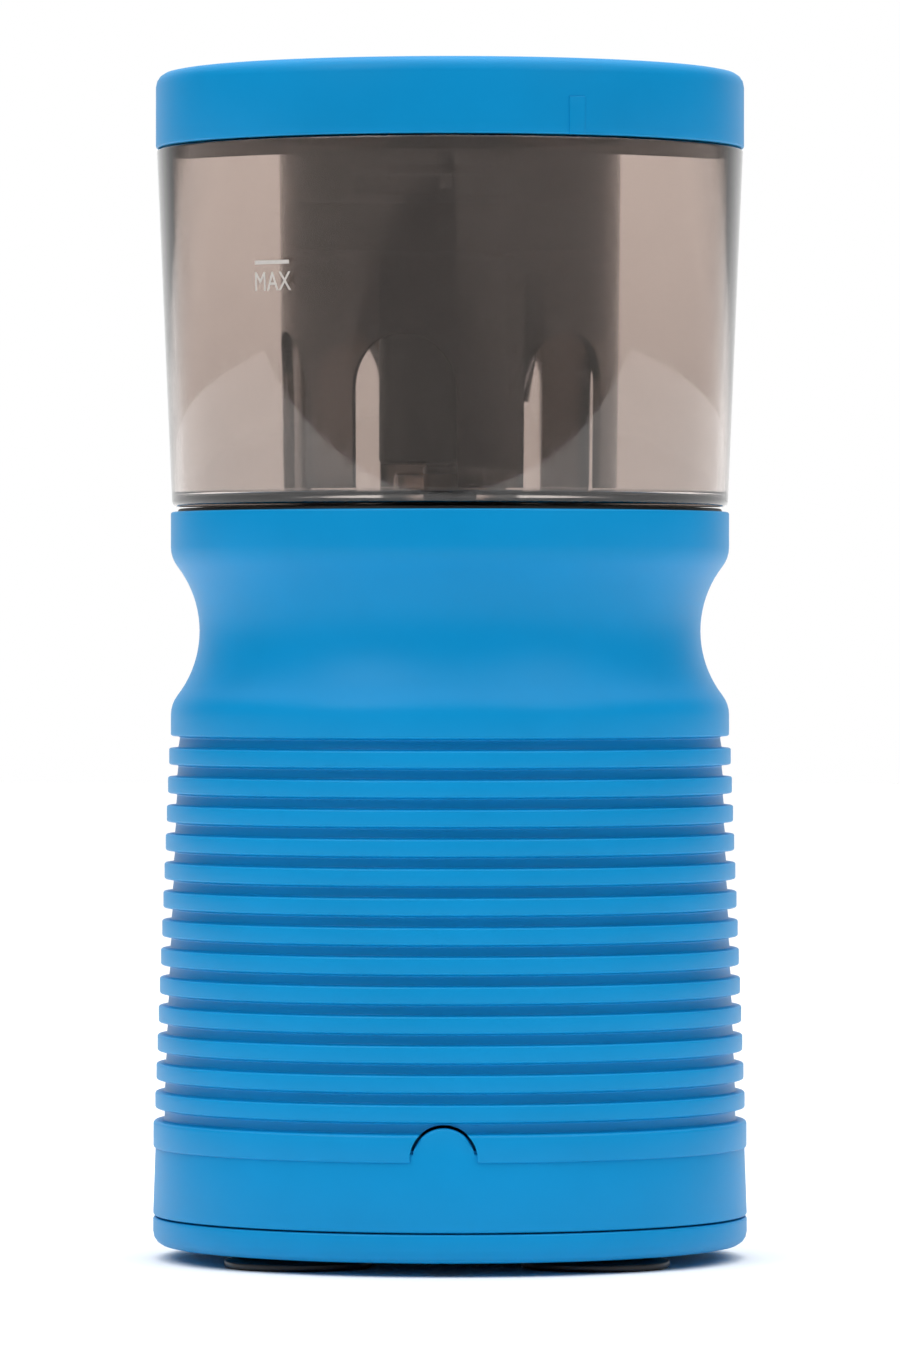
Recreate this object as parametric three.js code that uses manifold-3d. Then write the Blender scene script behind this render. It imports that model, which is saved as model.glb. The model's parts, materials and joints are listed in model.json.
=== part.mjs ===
// Upright electric pencil sharpener, in millimetres, +Z up.
// The origin is on the surface it stands on, under its axis. The front, with the key tab, is at -Y.
import * as THREE from 'three';
import { mergeVertices } from 'three/addons/utils/BufferGeometryUtils.js';
import Module from 'manifold-3d';

const wasm = await Module();
wasm.setup();

// ---- Driving dimensions -------------------------------------------------------------------------

const TAU = 2 * Math.PI;
const DEGREE = Math.PI / 180;
const FIT = 0.3;                    // gap between two pieces that touch
const RUNNING_FIT = 0.35;           // gap round a piece that turns or slides
const SHELL_SIDES = 24;             // facets round the big shells
const PART_SIDES = 16;              // facets round the motor, the bushing and the carrier
const SMALL_SIDES = 10;             // facets round axles and screws
const PAST = 1;                     // how far a tool runs past what it cuts, or a boss into its wall

// Outside shells, from the foot up. The radii follow BODY_RADIUS by the steps between the shells.
const BODY_RADIUS = 52.65;          // smooth wall above and below the waist
const RIB_COUNT = 13;
const RIB_PITCH = 5.39;
const RIB_HEIGHT = 3.09;
const RIB_DEPTH = 1.75;
const GRIP_STEP = 0.32;             // top rib beyond the smooth wall
const GRIP_FLARE = 0.219;           // each rib beyond the one above it
const BAND_STEP = 0.35;             // thick band beyond the lowest rib
const BAND_HEIGHT = 5.15;
const COVER_STEP = 0.05;            // bottom cover beyond the band
const COVER_BOTTOM = 2.3;
const COVER_HEIGHT = 5.4;
const COVER_CORNER = 4.5;
const COVER_FLOOR = 2.7;
const RING_HEIGHT = 14.7;
const RING_DRAFT = 0.5;             // how much narrower the base ring is at its top
const RING_WALL = 2.5;
const RING_LIP_INSET = 0.9;         // the step between the base ring and the body
const RING_LIP_HEIGHT = 0.6;
const COLLAR_HEIGHT = 6.15;         // smooth wall between the top rib and the waist
const WAIST_HEIGHT = 27.2;
const WAIST_DEPTH = 5.4;
const WAIST_STEPS = 8;
const RIM_HEIGHT = 6.2;
const SHELL_WALL = 2.2;
const SPIGOT_LENGTH = 13.0;         // how far the body reaches down into the base ring
const SPIGOT_WALL = 2.0;
const SPIGOT_FIT = 0.4;
const RIM_WALL = 1.05;
const RIB_SLOPE = 0.15;             // slope of a groove's side
const WALL_STEP = 4.0;              // where the wall behind the grip begins, under the waist
const WEB_WIDTH = 4.0;
const WEB_OFFSET = 1.06;            // web's distance from the axis, over its screw's

const TAB_RADIUS = 5.7;
const TAB_RISE = 4.7;               // how far the key tab stands above the base ring
const TAB_CLEARANCE = 0.55;
const TAB_THICKNESS = 2.0;

const SEAT_THICKNESS = 2.8;
const SEAT_PROUD = 0.6;             // how far the seat plate stands above the body's rim

const BIN_STEP = 0.25;              // bin's foot inside the body's rim
const BIN_FLARE = 2.9;
const BIN_HEIGHT = 67.3;
const BIN_WALL = 2.0;
const BIN_FLOOR = 1.8;
const BIN_CHAMFER = 0.8;
const BIN_COLLAR_RADIUS = 10.6;
const BIN_COLLAR_WALL = 1.6;
const BIN_COLLAR_HEIGHT = 4.2;

const LID_STEP = 0.17;              // lid beyond the bin's top
const LID_HEIGHT = 14.2;
const LID_CORNER = 4.0;
const LID_WALL = 2.2;
const LID_TOP = 2.6;
const LID_MARK_ANGLE = 26 * DEGREE; // index mark, measured from the front
const LID_MARK_WIDTH = 3.2;
const LID_MARK_HEIGHT = 7.0;
const LID_MARK_PROUD = 0.45;

const GUARD_TOP_RADIUS = 32.35;
const GUARD_BOTTOM_RADIUS = 31.55;
const GUARD_WALL = 2.0;
const GUARD_FOOT_GAP = 0.4;         // between the guard's foot and the bin's floor
const GUARD_FLANGE = 2.5;
const GUARD_SPIGOT = 3.2;           // how far the flange's rim reaches into the bin
const GUARD_SPIGOT_WALL = 2.0;
const GUARD_SPIGOT_FIT = 0.7;
const ARCH_COUNT = 6;
const ARCH_WIDTH = 20;
const ARCH_HEIGHT = 28.7;
const ARCH_STEPS = 6;
const ARCH_ANGLE = -15 * DEGREE;    // first arch, measured from the front
const SLOT_RIB_WIDTH = 2.2;
const SLOT_RIB_LENGTH = 8.3;
const SLOT_RIB_PROUD = 0.7;
const GUARD_SCREW_GAP = 0.6;        // between a screw's head and the column
const GUARD_SCREW_ANGLE = 12 * DEGREE;
const GUARD_SCREW_LENGTH = 9.0;
const SCREW_HEAD_RADIUS = 2.6;
const SCREW_HEAD_HEIGHT = 1.8;
const SCREW_RADIUS = 1.4;
const SCREW_SOCKET = 1.1;           // socket in a screw's head, across its corners, halved
const SCREW_CHAMFER = 0.5;
const SCREW_POINT = 1.0;
const BOSS_WALL = 1.9;
const PILOT_END = 1.5;              // end of a pilot hole, inside its boss

// Feet.
const CUP_INSET = 17.0;             // from the cover's edge to a cup's centre
const CUP_RADIUS = 13.75;
const CUP_LIP = 1.2;
const CUP_SIDES = 16;
const CUP_HOLLOW = 2.9;             // rise of the hollow under the cup
const CUP_HOLLOW_HALFWAY = 1.9;     // the same, halfway out
const CUP_LIP_WIDTH = 1.6;
const CUP_NECK_RADIUS = 2.6;
const CUP_DISC = 0.8;               // cup's thickness over its hollow
const CUP_SHOULDER = 1.2;           // cup's slope inside its pocket
const CUP_BUTTON_STEP = 1.8;        // button beyond the neck
const CUP_BUTTON_HEIGHT = 1.7;
const CUP_BUTTON_TOP = 0.6;         // button's top beyond the neck
const CUP_POCKET_RADIUS = 11.5;
const CUP_POCKET_DEPTH = 3.0;
const COVER_BOSS_HEIGHT = 2.4;      // inside, above the cover's floor
const COVER_SCREW_INSET = 3.6;      // from the spigot's inside to a screw's centre

// Cutting head. The cutter leans by the half angle of a pencil's point.
const PENCIL_BORE = 8.6;
const PORT_PLAY = 0.8;              // port's bore wider than the pencil's way
const LEAN = 10.5 * DEGREE;
const TIP_HEIGHT = 20.7;            // the pencil's tip, above the seat of the bin
const CUTTER_RADIUS = 7.5;
const CUTTER_LENGTH = 25;
const CUTTER_FLUTES = 10;
const CUTTER_FLUTE_DEPTH = 0.9;
const CUTTER_TWIST = 70 * DEGREE;
const PIN_RADIUS = 2.0;
const HUB_WALL = 5.9;               // hub's radius beyond the cutter's
const HUB_LENGTH = 37;
const HUB_GAP = 1.7;                // between the bin's collar and the hub
const LUG_REACH = 10.372;           // lug's radius beyond the pin's foot
const LUG_THICKNESS = 3.6;
const NECK_WALL = 4.3;              // round the pencil's way
const JOURNAL_WALL = 7.4;
const HEAD_RING_TEETH = 39;
const HEAD_PINION_TEETH = 13;
const CUTTER_FOOT = -1.0;           // along the pin, from the level of the pencil's tip
const PINION_GAP = 3.68;            // from the cutter's end to its pinion
const RING_GEAR_FACE = 3.4;
const RING_GEAR_HEIGHT = 8.4;
const PINION_FACE = 3.6;

// Drive.
const HEX_RADIUS = 5.0;             // across corners, halved
const HEX_FIT = 0.35;
const SPINDLE_RADIUS = 5.0;
const SPINDLE_BORE = 2.2;
const DRIVE_MODULE = 0.8;
const DRIVE_ADDENDUM = 0.64;
const DRIVE_DEDENDUM = 0.96;
const WHEEL_TEETH = 48;
const DRIVE_PINION_TEETH = 12;
const WHEEL_FACE = 4.0;
const WHEEL_GAP = 2.0;              // between the output wheel and the upper plate
const PINION_LEAD = 1.0;            // how far a pinion reaches past its wheel's face
const PINION_FACE_DRIVE = 6.0;
const PINION_ROOM = 2.0;            // hole in the lower plate, beyond the motor pinion
const DRIVE_PLAY = 0.32;            // backlash, along the pitch circle
const SEAT_GAP = 2.17;              // between the gearbox's upper plate and the seat plate
const GEARBOX_HEIGHT = 23.0;        // from the lower plate's foot to the upper plate's
const PLATE_THICKNESS = 2.0;
const PLATE_RADIUS = 42.5;
const POST_CIRCLE = 37.0;
const POST_RADIUS = 3.2;
const MOTOR_RADIUS = 18.0;
const MOTOR_LENGTH = 57.0;
const MOTOR_SHAFT_RADIUS = 1.6;
const MOTOR_SCREW_OFFSET = 12.5;
const MOTOR_SCREW_LENGTH = 4.2;
const ROD_RADIUS = 1.7;
const ROD_TRAVEL = 1.5;

// ---- Places that follow from them ---------------------------------------------------------------

const COVER_TOP = COVER_BOTTOM + COVER_HEIGHT;
const RING_BOTTOM = COVER_TOP + FIT;
const RING_TOP = COVER_TOP + RING_HEIGHT;
const BODY_BOTTOM = RING_TOP + RING_LIP_HEIGHT + FIT;
const BAND_TOP = BODY_BOTTOM + BAND_HEIGHT;
const RIB_GAP = RIB_PITCH - RIB_HEIGHT;
const COLLAR_BOTTOM = BAND_TOP + RIB_COUNT * RIB_PITCH + RIB_GAP;
const WAIST_BOTTOM = COLLAR_BOTTOM + COLLAR_HEIGHT;
const WAIST_TOP = WAIST_BOTTOM + WAIST_HEIGHT;
const BODY_TOP = WAIST_TOP + RIM_HEIGHT;
const SEAT_TOP = BODY_TOP + SEAT_PROUD;
const SEAT_BOTTOM = SEAT_TOP - SEAT_THICKNESS;
const UPPER_PLATE_Z = SEAT_BOTTOM - SEAT_GAP - PLATE_THICKNESS;
const LOWER_PLATE_Z = UPPER_PLATE_Z - GEARBOX_HEIGHT;
const BIN_BOTTOM = SEAT_TOP + FIT;
const BIN_FLOOR_TOP = BIN_BOTTOM + BIN_FLOOR;
const BIN_TOP = BIN_BOTTOM + BIN_HEIGHT;
const LID_BOTTOM = BIN_TOP + FIT;
const LID_CROWN = LID_BOTTOM + LID_HEIGHT;
const GUARD_TOP = BIN_TOP;
const GUARD_BOTTOM = BIN_FLOOR_TOP + GUARD_FOOT_GAP;
const TAB_CENTRE = RING_TOP + TAB_RISE - TAB_RADIUS;

const GRIP_BOTTOM_RADIUS = BODY_RADIUS + GRIP_STEP + GRIP_FLARE * (RIB_COUNT - 1);
const BAND_RADIUS = GRIP_BOTTOM_RADIUS + BAND_STEP;
const COVER_RADIUS = BAND_RADIUS + COVER_STEP;
const RING_TOP_RADIUS = COVER_RADIUS - RING_DRAFT;
const RING_INNER_RADIUS = RING_TOP_RADIUS - RING_WALL;
const SPIGOT_RADIUS = RING_INNER_RADIUS - SPIGOT_FIT;
const SEAT_RADIUS = BODY_RADIUS - RIM_WALL - FIT;
const BIN_BOTTOM_RADIUS = BODY_RADIUS - BIN_STEP;
const BIN_TOP_RADIUS = BIN_BOTTOM_RADIUS + BIN_FLARE;
const LID_RADIUS = BIN_TOP_RADIUS + LID_STEP;
const CUP_CIRCLE = COVER_RADIUS - CUP_INSET;
const COVER_SCREW_CIRCLE = SPIGOT_RADIUS - SPIGOT_WALL - COVER_SCREW_INSET;
const GUARD_SCREW_CIRCLE = GUARD_TOP_RADIUS + SCREW_HEAD_RADIUS + GUARD_SCREW_GAP;

const TIP_Z = BIN_BOTTOM + TIP_HEIGHT;
const HUB_BOTTOM = BIN_FLOOR_TOP + BIN_COLLAR_HEIGHT + HUB_GAP;
const HUB_TOP = HUB_BOTTOM + HUB_LENGTH;
const CUTTER_AXIS = CUTTER_RADIUS / Math.cos(LEAN);       // from the pencil's tip to the pin's line
const CUTTER_HEAD = CUTTER_FOOT + CUTTER_LENGTH;
const MESH_ALONG_PIN = CUTTER_HEAD + PINION_GAP + PINION_FACE / 2;
const MESH_REACH = MESH_ALONG_PIN * Math.sin(LEAN);
const MESH_Z = TIP_Z + MESH_ALONG_PIN * Math.cos(LEAN);
const HEAD_MODULE = 2 * (CUTTER_AXIS + MESH_REACH) / (HEAD_RING_TEETH - HEAD_PINION_TEETH);
const HEAD_PINION_RADIUS = HEAD_MODULE * HEAD_PINION_TEETH / 2;
const HEAD_RING_RADIUS = HEAD_MODULE * HEAD_RING_TEETH / 2;
const HUB_RADIUS = CUTTER_RADIUS + HUB_WALL;
const NECK_RADIUS = PENCIL_BORE / 2 + NECK_WALL;
const JOURNAL_RADIUS = PENCIL_BORE / 2 + JOURNAL_WALL;
const LUG_RADIUS = CUTTER_AXIS + LUG_REACH;
const PORT_BORE = PENCIL_BORE + PORT_PLAY;

// ---- Finishes -----------------------------------------------------------------------------------

const finish = (color, roughness, metalness = 0) =>
  new THREE.MeshStandardMaterial({ color, roughness, metalness });
const BLUE_PLASTIC = finish('#0089c1', 0.35);
const SMOKED_PLASTIC = new THREE.MeshStandardMaterial(
  { color: '#8f857d', roughness: 0.12, transparent: true, opacity: 0.4 });
const DARK_PLASTIC = finish('#2c2725', 0.3);
const GREY_PLASTIC = finish('#c9c7c2', 0.5);
const RUBBER = finish('#1c1a1f', 0.7);
const STEEL = finish('#b8b9bb', 0.35, 1);
const HARDENED_STEEL = finish('#6f7072', 0.3, 1);
const BRASS = finish('#b58a3c', 0.35, 1);
const BOARD = finish('#2f6b3f', 0.6);

// ---- Shapes -------------------------------------------------------------------------------------

// A closed geometry as a solid that can be joined and cut.
function solidOf(shape) {
  if (!shape.isBufferGeometry) return shape;
  const bare = shape.index ? shape.toNonIndexed() : shape.clone();
  bare.deleteAttribute('normal');
  bare.deleteAttribute('uv');
  const merged = mergeVertices(bare, 1e-4);
  return new wasm.Manifold(new wasm.Mesh({
    numProp: 3,
    vertProperties: merged.attributes.position.array,
    triVerts: new Uint32Array(merged.index.array),
  }));
}

const join = (...shapes) => shapes.map(solidOf).reduce((whole, part) => whole.add(part));

const cut = (shape, ...tools) =>
  tools.map(solidOf).reduce((rest, tool) => rest.subtract(tool), solidOf(shape));

// A named mesh, standing at a height and a place on the plan.
function piece(name, shape, material, x = 0, y = 0, z = 0) {
  let geometry = shape;
  if (!shape.isBufferGeometry) {
    const { vertProperties, triVerts } = shape.getMesh();
    geometry = new THREE.BufferGeometry();
    geometry.setAttribute('position', new THREE.BufferAttribute(vertProperties, 3));
    geometry.setIndex(new THREE.BufferAttribute(triVerts, 1));
    geometry.computeVertexNormals();
  }
  const mesh = new THREE.Mesh(geometry, material);
  mesh.name = name;
  mesh.position.set(x, y, z);
  return mesh;
}

// A turned shape about Z, from [radius, height] points with the outside going up.
function turned(points, sides = SHELL_SIDES) {
  const profile = points.map(([radius, height]) => new THREE.Vector2(radius, height));
  return new THREE.LatheGeometry(profile, sides).rotateX(Math.PI / 2);
}

// A turned ring, whose profile closes on itself.
const turnedRing = (points, sides = SHELL_SIDES) => turned([...points, points[0]], sides);

const rod = (radius, from, to, sides = SMALL_SIDES) =>
  turned([[0, from], [radius, from], [radius, to], [0, to]], sides);

const tube = (inner, outer, from, to, sides = SMALL_SIDES) =>
  turnedRing([[inner, from], [outer, from], [outer, to], [inner, to]], sides);

const block = (x, y, from, to) =>
  new THREE.BoxGeometry(x, y, to - from).translate(0, 0, (from + to) / 2);

// Points on an arc in the profile plane, from one angle to another about a centre.
function arc(centreRadius, centreHeight, radius, from, to, steps) {
  return Array.from({ length: steps + 1 }, (_, i) => {
    const angle = from + (to - from) * i / steps;
    return [centreRadius + radius * Math.cos(angle), centreHeight + radius * Math.sin(angle)];
  });
}

// A place on a circle, with the angle measured from the front, positive to the right.
const around = (radius, angle) => [radius * Math.sin(angle), -radius * Math.cos(angle)];

// An outline of straight-sided teeth, one of them centred on +X. Play thins each tooth.
function toothed(teeth, module, addendum, dedendum, play) {
  const pitchRadius = module * teeth / 2;
  const slope = Math.tan(20 * DEGREE);
  const halfAngle = (height) =>
    (Math.PI * module / 4 - play / 2 - height * slope) / (pitchRadius + height);
  const shape = new THREE.Shape();
  const points = [];
  for (let tooth = 0; tooth < teeth; tooth += 1) {
    const middle = TAU * tooth / teeth;
    for (const [height, side] of [[-dedendum, -1], [addendum, -1], [addendum, 1], [-dedendum, 1]]) {
      const angle = middle + side * halfAngle(height);
      const radius = pitchRadius + height;
      points.push(new THREE.Vector2(radius * Math.cos(angle), radius * Math.sin(angle)));
    }
  }
  return shape.setFromPoints(points);
}

const extruded = (shape, from, to) =>
  new THREE.ExtrudeGeometry(shape, { depth: to - from, bevelEnabled: false }).translate(0, 0, from);

// ---- Foot ---------------------------------------------------------------------------------------

const QUARTER_TURNS = [0, 1, 2, 3].map((turn) => turn * 90 * DEGREE);
const CUP_PLACES = QUARTER_TURNS.map((turn) => around(CUP_CIRCLE, turn + 45 * DEGREE));
const COVER_SCREW_PLACES = QUARTER_TURNS.map((turn) => around(COVER_SCREW_CIRCLE, turn));
const COVER_INSIDE_SLOPE = 2.0;     // the cover's floor is this much narrower than its top
const COVER_SCREW_HEAD = 3.3;
const COVER_SCREW_SHANK = 16.0;
const BOARD_WIDTH = 54;
const BOARD_DEPTH = 60;
const BOARD_SETBACK = 6.098;        // from the inlet's shoulder to the board's back edge
const BOARD_THICKNESS = 1.6;
const BOARD_LIFT = 22.5;            // board's underside above the cover's floor
const BOARD_POST_RADIUS = 2.8;
const BOARD_Z = COVER_BOTTOM + COVER_FLOOR + BOARD_LIFT;
const JACK_RADIUS = 4.4;
const JACK_PAD_RADIUS = 8.0;
const JACK_PAD_STEP = 0.6;          // inlet's pad inside the lowest rib
const JACK_PAD_DEPTH = 5.0;
const JACK_RECESS = 2.0;
const JACK_WIDTH = 11;
const JACK_DEPTH = 14;
const JACK_WALL_GAP = 2.5;
const JACK_LIFT = 0.4;              // inlet's block above the board
const JACK_BORE = 2.75;
const JACK_BORE_DEPTH = 8.0;
const JACK_CONTACT = 0.9;
const JACK_SHOULDER = SPIGOT_RADIUS - SPIGOT_WALL - JACK_WALL_GAP;
const JACK_PAD_Y = GRIP_BOTTOM_RADIUS - JACK_PAD_STEP;
const JACK_Z = BOARD_Z + BOARD_THICKNESS + JACK_LIFT + JACK_WIDTH / 2;
const BOARD_Y = JACK_SHOULDER - BOARD_SETBACK - BOARD_DEPTH / 2;
const BOARD_POST_INSET = 4.0;
const BOARD_POST_PLACES = [-1, 1].flatMap((side) => [-1, 1].map((end) =>
  [side * (BOARD_WIDTH / 2 - BOARD_POST_INSET), BOARD_Y + end * (BOARD_DEPTH / 2 - BOARD_POST_INSET)]));

function bottomCover() {
  const floor = COVER_BOTTOM + COVER_FLOOR;
  const bossTop = floor + COVER_BOSS_HEIGHT;
  const dish = turned([
    [0, COVER_BOTTOM],
    ...arc(COVER_RADIUS - COVER_CORNER, COVER_BOTTOM + COVER_CORNER, COVER_CORNER, -90 * DEGREE, 0, 5),
    [COVER_RADIUS, COVER_TOP],
    [RING_INNER_RADIUS, COVER_TOP],
    [RING_INNER_RADIUS - COVER_INSIDE_SLOPE, floor],
    [0, floor],
  ]);
  const cupBosses = CUP_PLACES.map(([x, y]) =>
    rod(CUP_POCKET_RADIUS + BOSS_WALL, floor - PAST, bossTop, CUP_SIDES).translate(x, y, 0));
  const screwBosses = COVER_SCREW_PLACES.map(([x, y]) =>
    rod(COVER_SCREW_HEAD + FIT + BOSS_WALL, floor - PAST, bossTop).translate(x, y, 0));
  const posts = BOARD_POST_PLACES.map(([x, y]) =>
    rod(BOARD_POST_RADIUS, floor - PAST, BOARD_Z - FIT).translate(x, y, 0));
  const pockets = CUP_PLACES.flatMap(([x, y]) => [
    rod(CUP_POCKET_RADIUS, COVER_BOTTOM - PAST, COVER_BOTTOM + CUP_POCKET_DEPTH, CUP_SIDES)
      .translate(x, y, 0),
    rod(CUP_NECK_RADIUS + FIT, COVER_BOTTOM, bossTop + PAST).translate(x, y, 0),
  ]);
  const screwHoles = COVER_SCREW_PLACES.flatMap(([x, y]) => [
    rod(COVER_SCREW_HEAD + FIT, COVER_BOTTOM - PAST, COVER_BOTTOM + SCREW_HEAD_HEIGHT + 2 * FIT)
      .translate(x, y, 0),
    rod(SCREW_RADIUS + FIT, COVER_BOTTOM, bossTop + PAST).translate(x, y, 0),
  ]);
  return cut(join(dish, ...cupBosses, ...screwBosses, ...posts), ...pockets, ...screwHoles);
}

// A cup stands on its lip. Its neck goes through the cover, under a button that holds it.
function suctionCup() {
  const neckBottom = COVER_BOTTOM + CUP_POCKET_DEPTH - FIT;
  const buttonBottom = COVER_BOTTOM + COVER_FLOOR + COVER_BOSS_HEIGHT + FIT;
  return turned([
    [0, CUP_HOLLOW],
    [CUP_RADIUS / 2, CUP_HOLLOW_HALFWAY],
    [CUP_RADIUS - CUP_LIP_WIDTH, 0],
    [CUP_RADIUS, 0],
    [CUP_RADIUS, CUP_LIP],
    [CUP_POCKET_RADIUS - CUP_SHOULDER, CUP_LIP + CUP_DISC],
    [CUP_POCKET_RADIUS / 2, neckBottom - CUP_DISC],
    [CUP_NECK_RADIUS, neckBottom],
    [CUP_NECK_RADIUS, buttonBottom],
    [CUP_NECK_RADIUS + CUP_BUTTON_STEP, buttonBottom],
    [CUP_NECK_RADIUS + CUP_BUTTON_TOP, buttonBottom + CUP_BUTTON_HEIGHT],
    [0, buttonBottom + CUP_BUTTON_HEIGHT],
  ], CUP_SIDES);
}

// A pan-head screw with its head at the bottom, from Z 0 up.
function screw(headRadius, shankLength) {
  const recess = new THREE.CylinderGeometry(SCREW_SOCKET, SCREW_SOCKET, 2 * SCREW_SOCKET, 6)
    .rotateX(Math.PI / 2);
  return cut(turned([
    [0, 0],
    [headRadius - SCREW_CHAMFER, 0],
    [headRadius, SCREW_CHAMFER],
    [headRadius, SCREW_HEAD_HEIGHT],
    [SCREW_RADIUS, SCREW_HEAD_HEIGHT],
    [SCREW_RADIUS, SCREW_HEAD_HEIGHT + shankLength - SCREW_POINT],
    [SCREW_RADIUS - SCREW_CHAMFER, SCREW_HEAD_HEIGHT + shankLength],
    [0, SCREW_HEAD_HEIGHT + shankLength],
  ], SMALL_SIDES), recess);
}

// The key tab is a half disc that stands up from the ring's front.
function baseRing() {
  const lipRadius = RING_TOP_RADIUS - RING_LIP_INSET;
  const ring = turnedRing([
    [RING_INNER_RADIUS, RING_BOTTOM],
    [COVER_RADIUS, RING_BOTTOM],
    [RING_TOP_RADIUS, RING_TOP],
    [lipRadius, RING_TOP],
    [lipRadius, RING_TOP + RING_LIP_HEIGHT],
    [RING_INNER_RADIUS, RING_TOP + RING_LIP_HEIGHT],
  ]);
  return join(ring, tabDisc(TAB_RADIUS, RING_TOP_RADIUS, RING_TOP_RADIUS - TAB_THICKNESS));
}

// A disc across the back wall, from a distance behind the axis towards the front.
const backDisc = (radius, depth, outer, sides = PART_SIDES) =>
  new THREE.CylinderGeometry(radius, radius, depth, sides).translate(0, outer - depth / 2, 0);

// A disc across the front wall, between two distances from the axis.
const tabDisc = (radius, outer, inner) =>
  new THREE.CylinderGeometry(radius, radius, outer - inner, PART_SIDES)
    .translate(0, -(outer + inner) / 2, TAB_CENTRE);

// ---- Body ---------------------------------------------------------------------------------------

// The wall in profile: thick band, ribs from the bottom up, smooth collar, waist and rim.
function bodyOutline() {
  const ribs = Array.from({ length: RIB_COUNT }, (_, rib) => {
    const bottom = BAND_TOP + RIB_GAP + rib * RIB_PITCH;
    const radius = GRIP_BOTTOM_RADIUS - GRIP_FLARE * rib;
    return [
      [radius - RIB_DEPTH, bottom - RIB_SLOPE],
      [radius, bottom],
      [radius, bottom + RIB_HEIGHT],
      [radius - RIB_DEPTH, bottom + RIB_HEIGHT + RIB_SLOPE],
    ];
  }).flat();
  return [
    [SPIGOT_RADIUS, BODY_BOTTOM],
    [BAND_RADIUS, BODY_BOTTOM],
    [BAND_RADIUS, BAND_TOP],
    [GRIP_BOTTOM_RADIUS - RIB_DEPTH, BAND_TOP + RIB_SLOPE],
    ...ribs,
    [BODY_RADIUS - RIB_DEPTH, COLLAR_BOTTOM - RIB_SLOPE],
    [BODY_RADIUS, COLLAR_BOTTOM],
    ...waist(0),
    [BODY_RADIUS, BODY_TOP],
  ];
}

// The waist is one arc that is hollow towards the outside, here moved in by a wall's thickness.
function waist(wall) {
  const radius = (WAIST_HEIGHT ** 2 / 4 + WAIST_DEPTH ** 2) / (2 * WAIST_DEPTH);
  const half = Math.asin(WAIST_HEIGHT / 2 / radius);
  const centreRadius = BODY_RADIUS - WAIST_DEPTH + radius;
  const middle = (WAIST_BOTTOM + WAIST_TOP) / 2;
  return arc(centreRadius, middle, radius + wall, Math.PI + half, Math.PI - half, WAIST_STEPS)
    .map(([r, z]) => [Math.min(r, BODY_RADIUS - wall), z]);
}

function bodyShell() {
  const gripInside = BODY_RADIUS - RIB_DEPTH - SHELL_WALL;
  const spigotInside = SPIGOT_RADIUS - SPIGOT_WALL;
  const shell = turnedRing([
    [spigotInside, BODY_BOTTOM - SPIGOT_LENGTH],
    [SPIGOT_RADIUS, BODY_BOTTOM - SPIGOT_LENGTH],
    ...bodyOutline(),
    [SEAT_RADIUS + FIT, BODY_TOP],
    [SEAT_RADIUS + FIT, SEAT_BOTTOM - FIT],
    [BODY_RADIUS - SHELL_WALL, SEAT_BOTTOM - FIT],
    ...waist(SHELL_WALL).reverse(),
    [gripInside, WAIST_BOTTOM - WALL_STEP],
    [gripInside, COLLAR_BOTTOM],
    [spigotInside, BAND_TOP],
  ]);
  const bossBottom = COVER_TOP;
  const bossTop = bossBottom + COVER_SCREW_SHANK;
  const bosses = COVER_SCREW_PLACES.map(([x, y]) =>
    rod(SCREW_RADIUS + FIT + BOSS_WALL, bossBottom, bossTop).translate(x, y, 0));
  const webs = COVER_SCREW_PLACES.map(([x, y]) =>
    block(WEB_WIDTH, WEB_WIDTH, BODY_BOTTOM - SPIGOT_LENGTH, bossTop)
      .translate(x * WEB_OFFSET, y * WEB_OFFSET, 0));
  const pilots = COVER_SCREW_PLACES.map(([x, y]) =>
    rod(SCREW_RADIUS + FIT, bossBottom - PAST, bossTop - PILOT_END).translate(x, y, 0));
  const pad = backDisc(JACK_PAD_RADIUS, JACK_PAD_DEPTH, JACK_PAD_Y).translate(0, 0, JACK_Z);
  const jackHole = backDisc(JACK_RADIUS + FIT, 2 * JACK_PAD_DEPTH, JACK_PAD_Y + JACK_RECESS)
    .translate(0, 0, JACK_Z);
  const notch = tabDisc(TAB_RADIUS + TAB_CLEARANCE, BAND_RADIUS + PAST,
    RING_TOP_RADIUS - TAB_THICKNESS - FIT);
  return cut(join(shell, ...bosses, ...webs, pad), ...pilots, jackHole, notch);
}

// ---- Drive, under the seat plate ----------------------------------------------------------------

const DRIVE_CENTRES = DRIVE_MODULE * (WHEEL_TEETH + DRIVE_PINION_TEETH) / 2;
const PLATE_TOP = UPPER_PLATE_Z + PLATE_THICKNESS;
const LOWER_PLATE_TOP = LOWER_PLATE_Z + PLATE_THICKNESS;
const POST_PLACES = [90, 180, 270].map((angle) => around(POST_CIRCLE, (angle + 90) * DEGREE));
const HALF_TOOTH = Math.PI / DRIVE_PINION_TEETH;
const AXLE_RADIUS = 1.5;
const WHEEL_HUB_RADIUS = 3.4;
const OUTPUT_WHEEL_Z = UPPER_PLATE_Z - WHEEL_GAP - WHEEL_FACE;
const MOTOR_WHEEL_Z = LOWER_PLATE_Z + PLATE_THICKNESS + WHEEL_FACE;
const BUSH_RADIUS = 8.0;
const BUSH_FLANGE = 10.0;
const BUSH_STEP = 0.5;              // bushing's foot under the upper plate
const HEX_LENGTH = 7.6;             // hexagon inside the hub
const HUB_REST = 0.6;               // between the spindle's shoulder and the hub
const SPINDLE_END = 1.5;            // spindle's foot under the output wheel
const ROD_END = 0.4;                // push rod's foot under the spindle's
const ROD_TIP = 1.1;                // cone at the top of the push rod
const SPINDLE_BOTTOM = OUTPUT_WHEEL_Z - SPINDLE_END;
const SPINDLE_SHOULDER = HUB_BOTTOM - HUB_REST;
const HEX_TOP = HUB_BOTTOM + HEX_LENGTH;
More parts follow.
